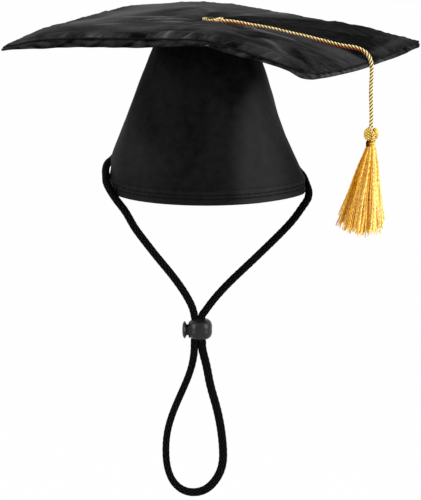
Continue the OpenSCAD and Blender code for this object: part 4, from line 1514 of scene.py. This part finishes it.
SKIRT_YARNS = 250
SUNFLOWER_TURN = 2.399963
SKIRT_LEAN = -5.9
SKIRT_WIDTH = 13.2
SKIRT_DEPTH = 9.2
ROOT_R = 2.3
YARN_R = 0.37
YARN_ROWS = 40
skirt_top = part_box("tassel_skirt")[1][2] / MM
yarn_line = straight((0, 0, 0), (0, 0, YARN_ROWS), YARN_ROWS + 1)
yarn_model = tube("yarn", yarn_line, 5, even(1.0))
yarn_base = points_of(yarn_model) / MM * (1, 1, 1 / YARN_ROWS)
rng = np.random.default_rng(17)
yarns = []
for index in range(SKIRT_YARNS):
    # Sunflower spacing spreads the yarns over the neck, and over the skirt's foot.
    share = math.sqrt((index + 0.5) / SKIRT_YARNS)
    turn = index * SUNFLOWER_TURN + rng.uniform(-0.2, 0.2)
    out_x, out_y = share * math.cos(turn), share * math.sin(turn)
    length = rng.uniform(47.2, 52.8) - 3.4 * abs(out_x - 0.25) ** 1.5 + rng.choice([0, 0, 0, -3.5])
    clump = 1.1 * math.sin(turn * 5 + 1) * share
    foot = np.array([
        SKIRT_LEAN + SKIRT_WIDTH * out_x + 1.4 * max(0, out_x) ** 3 + clump + rng.normal(0, 0.6),
        SKIRT_DEPTH * out_y + rng.normal(0, 0.6),
        -length,
    ])
    root = np.array([ROOT_R * out_x, ROOT_R * out_y, 0.8])
    knee = np.array([
        0.52 * foot[0] + 0.6 * out_x + 1.3 * max(0, out_x), 0.55 * foot[1] + 0.8 * out_y,
        -0.47 * length,
    ])
    sway = rng.normal(0, 0.45, (2, 2))
    t = np.clip(yarn_base[:, 2], 0, 1)[:, None]
    fall = (1 - t) ** 2 * root + 2 * t * (1 - t) * knee + t * t * foot
    fall[:, :2] += np.sin(math.pi * t) * sway[0] + np.sin(2 * math.pi * t) * sway[1] * 0.5
    crinkle = rng.uniform(0, 2 * math.pi, 2)
    fall[:, :2] += 0.1 * np.sin(t * (78, 70) + crinkle) * ease(t / 0.2)
    thick = YARN_R * rng.uniform(0.8, 1.2)
    taper = np.where(t > 0.97, 0.8, 1.0)
    fall[:, :2] += yarn_base[:, :2] * thick * taper
    copy = yarn_model.copy()
    copy.data = yarn_model.data.copy()
    bpy.context.collection.objects.link(copy)
    move_points(copy, (fall + (neck_at[0], neck_at[1], skirt_top)) * MM)
    # Each yarn's shade: a random share, painted lighter towards the right, darker in a streak a little right
    # of the middle, painted darker near the root, and painted highlights on the beads of its twist.
    own_tone = rng.uniform(0.0, 0.9) + 0.32 * out_x
    own_tone = own_tone - 0.6 * math.exp(-(((out_x - 0.2) / 0.1) ** 2))
    beads = 1 + 0.45 * np.sin(yarn_base[:, 2] * rng.uniform(130, 170) + crinkle[0])
    shade_by(copy, (own_tone + 0.18) * beads * (0.75 + 0.45 * ease(yarn_base[:, 2] * 1.4)))
    yarns.append(copy)
bpy.data.objects.remove(yarn_model)
only(*yarns)
bpy.ops.object.join()
skirt = bpy.context.object
skirt.name = "tassel_yarns"
edit_mesh(skirt, outward)
dress(skirt, gold_yarn, "gold_yarn", "tassel", "tassel_skirt")

gold_path = evenly(gold_line, 5.0)

# ---- Chin cord ----
# One black braided polyester cord, 4.4 mm. Each end goes through an eyelet near
# the rim into a stopper knot inside, and both runs pass down through the lock
# and join as the loop that goes under the chin.

BRAID_R = 2.2
BRAID_CARRIERS = 7
BRAID_STEP = 3.5
BRAID_SIDES = 42
KNOT_SIDES = 28


def braid(turn, far):
    """Radius of the braid: strands that cross over and under each other."""
    across = turn / (2 * math.pi) * BRAID_CARRIERS
    left, right = across + far / BRAID_STEP, across - far / BRAID_STEP
    over = (np.floor(left) + np.floor(right)) % 2 > 0.5
    on_top = np.where(over, left, right) % 1
    return BRAID_R * (0.9 + 0.14 * np.sin(math.pi * on_top) ** 0.7)


black_cord = Finish("black_cord", Specular_IOR_Level=0.006)
fibres = black_cord.wave(black_cord.place(), 1700, "DIAGONAL", 3.0)
fuzz = black_cord.noise(black_cord.place(), 900, 2)
# painted light and shade: the braid's crests are painted lighter, flecked by its fuzz, and its crevices
# painted dark
crest = black_cord.kept("tone") ** 2 * (0.2 + 1.2 * fuzz)
tone = black_cord.blend(crest, (0.0002, 0.0002, 0.0003), (0.019, 0.019, 0.020))
black_cord.surface(tone, fibres * 0.15 + 0.5, fibres, 0.00006, 0.5)

HOLE_Z = 15.0
HOLE_BACK = math.radians(40)
CONE_TILT = math.atan(CONE_SLOPE)
LOCK = np.array([-3.5, -8.0, -82.8])
LOCK_END = 7.3


def through_hole(side, out):
    """A point on the axis of a cord hole, at a distance out of the cone."""
    level = cone_radius(np.array(HOLE_Z)) + out * math.cos(CONE_TILT)
    return (
        side * level * math.cos(HOLE_BACK), level * math.sin(HOLE_BACK),
        HOLE_Z + out * math.sin(CONE_TILT),
    )


left_route = [
    through_hole(-1, -5.4), through_hole(-1, -0.5), through_hole(-1, 2.5),
    (-46.1, 37.9, 16.4), (-49.5, 38, 16.4), (-52.4, 36.2, 15.9), (-54.2, 33, 15.1),
    (-55.7, 28, 14), (-57.1, 21.5, 13.6), (-58.3, 14.5, 13.4), (-59.1, 7.5, 12.2),
    (-59.2, 0.5, 10.6), (-58.8, -6.7, 9), (-58.3, -14, 6.9), (-56.5, -20.8, 4.2),
    (-54, -25.8, 1.1), (-51.1, -28, -2.6), (-47.4, -28, -7.5), (-42.5, -26, -16.5),
    (-36.1, -23, -26.3), (-28.7, -20, -36.6), (-21.3, -17, -46.4), (-14.3, -14, -56.7),
    (-9.8, -11, -65), (-7.7, -8.9, -70.6), (-6.95, -8, -74.3), (-6.6, -8, -76.3),
    (-6.3, -8, -78.5),
]
right_route = [
    through_hole(1, -5.4), through_hole(1, -0.5), through_hole(1, 2.5),
    (46, 37.8, 16), (48.6, 37.6, 15.3), (50.7, 35.8, 14.2), (51.9, 32.4, 12.6),
    (53, 28, 10.6), (54.5, 23.6, 8.2), (56.9, 19, 6), (58.5, 14.2, 3.7),
    (59.7, 9.3, 1), (60.7, 4.8, -2.3), (59.9, 1.6, -6), (57.6, -0.6, -9.2),
    (52.8, -2.6, -15.7), (44.4, -4, -25), (34.6, -5, -34.6), (24.8, -5.8, -44),
    (14.9, -6.6, -53.4), (6.3, -7.2, -62.6), (1.6, -7.7, -68.5), (-1.1, -8, -72.2),
    (-2.45, -8, -74.3), (-2.8, -8, -76.3), (-3.05, -8, -78.5),
]
loop_route = [
    (-6.5, -8, -87.2), (-6.95, -8, -90.1), (-6.95, -8, -91.3), (-7.3, -8, -98),
    (-9.2, -8, -107), (-14, -8, -119.5), (-20, -8, -134), (-23.2, -8, -146),
    (-24, -8, -157), (-22.5, -8, -169), (-18.7, -8, -176.7), (-13.5, -8, -180.9),
    (-7.5, -8, -182.2), (-0.5, -8, -180.4), (5.3, -8, -175), (9.3, -8, -166.5),
    (10, -8, -155), (8.6, -8, -142), (5.9, -8, -129), (2.4, -8, -116),
    (-0.3, -8, -102.5), (-2.45, -8, -91.3), (-2.45, -8, -90.1), (-3.0, -8, -87.2),
]
LOCK_TOP = LOCK[2] + LOCK_END
LOOP_FREE_Z = -88.5
LOOP_FOOT_Z = -193.0
LOOP_FLAT_WAY = math.radians(69.5)


def loop_braid(turn, far):
    """The braid of the loop, which is pressed flatter on its right run."""
    flat = -0.07 + 0.18 * ease((far - 85) / 30)
    flat = flat * ease((far - 8) / 14) * ease((224 - far) / 14)
    return braid(turn, far) * (1 + flat * np.cos(2 * (turn - LOOP_FLAT_WAY)))


chin_runs = (
    ("chin_left", left_route, "chin_cord_left", "cap", "cord_lock", 0.0, LOCK_TOP),
    ("chin_right", right_route, "chin_cord_right", "cap", "cord_lock", 0.0, LOCK_TOP),
    (
        "chin_loop", loop_route, "chin_cord_loop",
        "cord_lock", "cap", LOOP_FREE_Z, LOOP_FOOT_Z,
    ),
)
for name, route, node, first_body, second_body, first_z, second_z in chin_runs:
    line = curve_through(route, 0.32)
    run = tube(name, line, BRAID_SIDES, braid)
    shade_out_from(run, line, 0.985 * BRAID_R, 1.04 * BRAID_R)
    if name == "chin_loop":
        # It keeps the painted shades of the round braid, and takes the pressed one's shape.
        pressed = tube("pressed", line, BRAID_SIDES, loop_braid)
        move_points(run, points_of(pressed))
        bpy.data.objects.remove(pressed)
    dress(run, black_cord.material, "black_cord", None, node)
    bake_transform(run, first_body, second_body, (0, 0, first_z * MM), (0, 0, second_z * MM))
    path = evenly(line, 6.5)

# The eyelets are pressed metal under black enamel, chipped here and there.
enamel = Finish("eyelet_enamel", Metallic=0.6, Specular_IOR_Level=0.5)
chips = enamel.noise(enamel.place(), 700, 3)
tone = enamel.blend(enamel.spread(chips, 0.62, 0.7), (0.012, 0.012, 0.013), (0.09, 0.075, 0.05))
enamel.surface(tone, chips * 0.3 + 0.2, chips, 0.00003, 0.4)
for side, label in ((-1, "left"), (1, "right")):
    centre = np.array(through_hole(side, -5.7))
    knot = tube(
        f"stopper_knot_{label}", evenly(knot_line(centre, 3.0, 0.8, side * 0.6), 0.4),
        KNOT_SIDES, lambda turn, far: braid(turn, far) * 0.8, ring=True,
    )
    inward = np.array([-side * math.cos(HOLE_BACK), -math.sin(HOLE_BACK), 0])
    tail = curve_through(
        [centre, centre + 3 * inward + (0, 0, -2.5), centre + 4.5 * inward + (0, 0, -6.5),
         centre + 4.8 * inward + (0, 0, -10.5)],
        0.35,
    )
    end = tube("tail", tail, KNOT_SIDES, braid)
    only(end, knot)
    bpy.ops.object.join()
    knot = bpy.context.object
    knot.name = f"stopper_knot_{label}"
    shade_by(knot, 0.4)
    dress(knot, black_cord.material, "black_cord", "cap", f"cord_knot_{label}")
    refinish(f"cord_eyelet_{label}", enamel.material)

# ---- Cord lock ----
# A moulded ball of black plastic with two flat ends and a slot for the cords.
# A plunger with a flared cap slides into it from the left, against a steel
# spring, and nips them.

moulded = Finish("lock_plastic", Specular_IOR_Level=0.2)
where = moulded.place()
spark = moulded.noise(where, 2600, 2)
flow = moulded.noise(where, 180, 3)
scuff = moulded.spread(moulded.noise(moulded.place((500, 90, 90)), 4, 3), 0.6, 0.72)
tone = moulded.blend(flow, (0.010, 0.010, 0.011), (0.018, 0.018, 0.019))
tone = moulded.blend(scuff * 0.5, tone, (0.035, 0.035, 0.036))
moulded.surface(tone, flow * 0.12 + scuff * 0.1 + 0.26, spark, 0.00004, 0.35)

BALL_R = 7.1
BALL_HALF = 6.3
BALL_POWER = 0.62
BALL_LIFT = 0.5
BALL_ROWS = 46


def ball_place(turn, row):
    """The ball's section, from the middle of its top to the middle of its foot."""
    side = np.clip((row - 1) / (BALL_ROWS - 2), 0, 1)
    swing = (0.5 - side) * math.pi
    radius = BALL_R * np.maximum(0, np.cos(swing)) ** BALL_POWER
    z = BALL_HALF * np.sign(np.sin(swing)) * np.abs(np.sin(swing)) ** BALL_POWER
    radius = radius - 0.1 * np.exp(-(((side - 0.5) / 0.012) ** 2))
    z = z + BALL_LIFT
    return np.stack([radius * np.cos(turn), radius * np.sin(turn), z], axis=1) + LOCK


ball = rolled("lock_ball", 96, BALL_ROWS, ball_place)

BORE_R = 3.7
BORE_LENGTH = 17.8
POCKET_R = 2.65
POCKET_LENGTH = 5.3
SLOT_R = 2.35
SLOT_LENGTH = 30.0
LYING = (0, math.pi / 2, 0)
UPRIGHT = (0, 0, 0)


def cutter(place, radius, depth, turn, stretch=1.0):
    """A round bar to cut out of a piece, along X where it lies."""
    bpy.ops.object.select_all(action="DESELECT")
    bpy.ops.mesh.primitive_cylinder_add(
        vertices=48, radius=radius * MM, depth=depth * MM,
        location=tuple(np.array(place) * MM), rotation=turn,
    )
    bar = bpy.context.object
    bar.scale = (stretch, 1, 1)
    bpy.ops.object.transform_apply(location=True, rotation=True, scale=True)
    return bar


bore = cutter(LOCK + (-4.6, 0, 0), BORE_R, BORE_LENGTH, LYING)
pocket = cutter(LOCK + (2.7, 0, 0), POCKET_R, POCKET_LENGTH, LYING)
slot = cutter(LOCK + (-0.5, 0, 0), SLOT_R, SLOT_LENGTH, UPRIGHT, 1.65)
for bar in (bore, pocket, slot):
    finish_with(ball, "BOOLEAN", object=bar, operation="DIFFERENCE", solver="EXACT")
    bpy.data.objects.remove(bar)


# place along X and radius round the section of the short collar that guides the plunger
COLLAR_OUTLINE = np.array([
    (-4.2, 4.6), (-6.1, 4.85), (-6.7, 4.8), (-6.9, 4.55), (-6.9, 4.15), (-6.75, 3.9),
    (-6.0, 3.8), (-4.2, 3.8),
])


def turned_on_x(spot, turn):
    """Points of a section, given by place along X and radius, turned round the lock's X."""
    x, radius = spot[:, 0], spot[:, 1]
    return np.stack([x, radius * np.cos(turn), radius * np.sin(turn)], axis=1) + LOCK


def collar_place(turn, row):
    return turned_on_x(COLLAR_OUTLINE[row % len(COLLAR_OUTLINE)], turn)


SHARP_EDGE = math.radians(38)
collar = rolled("collar", 72, len(COLLAR_OUTLINE), collar_place)
only(collar, ball)
bpy.ops.object.join()
only(ball)
bpy.ops.object.shade_smooth_by_angle(angle=SHARP_EDGE)
dress(ball, moulded.material, "lock_plastic", "cord_lock", "lock_barrel")

HEAD_FACE = -8.55
# distance in from the cap's face and radius, along the plunger
PLUNGER_OUTLINE = np.array([
    (-2.1, 0.0), (-2.08, 1.2), (-1.98, 2.6), (-1.75, 3.7), (-1.4, 4.5), (-1.0, 4.95),
    (-0.6, 5.15), (-0.25, 5.0), (0.05, 4.5), (0.25, 3.9), (0.5, 3.4), (0.9, 3.3),
    (3.0, 3.55), (6.0, 3.55), (9.5, 3.55), (10.9, 3.5), (11.4, 3.1), (11.4, 0.0),
])


def plunger_place(turn, row):
    return turned_on_x(PLUNGER_OUTLINE[row] + (HEAD_FACE, 0), turn)


plunger = rolled("lock_plunger_cap", 72, len(PLUNGER_OUTLINE) - 1, plunger_place)
plunger_slot = cutter(LOCK + (-1.5, 0, 0), SLOT_R, SLOT_LENGTH, UPRIGHT, 1.55)
finish_with(plunger, "BOOLEAN", object=plunger_slot, operation="DIFFERENCE", solver="EXACT")
bpy.data.objects.remove(plunger_slot)
only(plunger)
bpy.ops.object.shade_smooth_by_angle(angle=SHARP_EDGE)
dress(plunger, moulded.material, "lock_plastic", "lock_button", "lock_plunger")

steel = Finish("spring_steel", Metallic=1.0)
drawn = steel.noise(steel.place((60, 60, 60)), 12, 3)
steel.surface(steel.blend(drawn, (0.55, 0.55, 0.57), (0.75, 0.75, 0.77)), drawn * 0.2 + 0.2)
SPRING_START = 3.15
SPRING_LENGTH = 2.0
SPRING_R = 2.3
SPRING_TURNS = 3
WIRE_R = 0.2
wound = np.linspace(0, 1, 160)
spring_line = np.stack([
    LOCK[0] + SPRING_START + SPRING_LENGTH * wound,
    LOCK[1] + SPRING_R * np.cos(2 * math.pi * SPRING_TURNS * wound),
    LOCK[2] + SPRING_R * np.sin(2 * math.pi * SPRING_TURNS * wound),
], axis=1)
spring = tube("lock_coil", spring_line, 8, even(WIRE_R))
dress(spring, steel.material, "spring_steel", "cord_lock", "lock_spring")
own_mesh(spring)

# the two stretches of cord in the slot, which the plunger squeezes narrower
HELD_X = (-6.225, -3.025)
HELD_TOP = -76.0
HELD_FOOT = -89.6
SQUEEZE = 0.69
held_runs = []
for x in HELD_X:
    held_line = straight((x, LOCK[1], HELD_FOOT), (x, LOCK[1], HELD_TOP), 46)
    run = tube("held", held_line, 32, braid)
    shade_out_from(run, held_line, 0.92 * BRAID_R, 1.03 * BRAID_R)
    squeezed = points_of(run)
    squeezed[:, 0] = x * MM + (squeezed[:, 0] - x * MM) * SQUEEZE
    move_points(run, squeezed)
    held_runs.append(run)
only(*held_runs)
bpy.ops.object.join()
held_pair = bpy.context.object
held_pair.name = "cord_runs_in_lock"
dress(held_pair, black_cord.material, "black_cord", "cord_lock", "cord_nip")
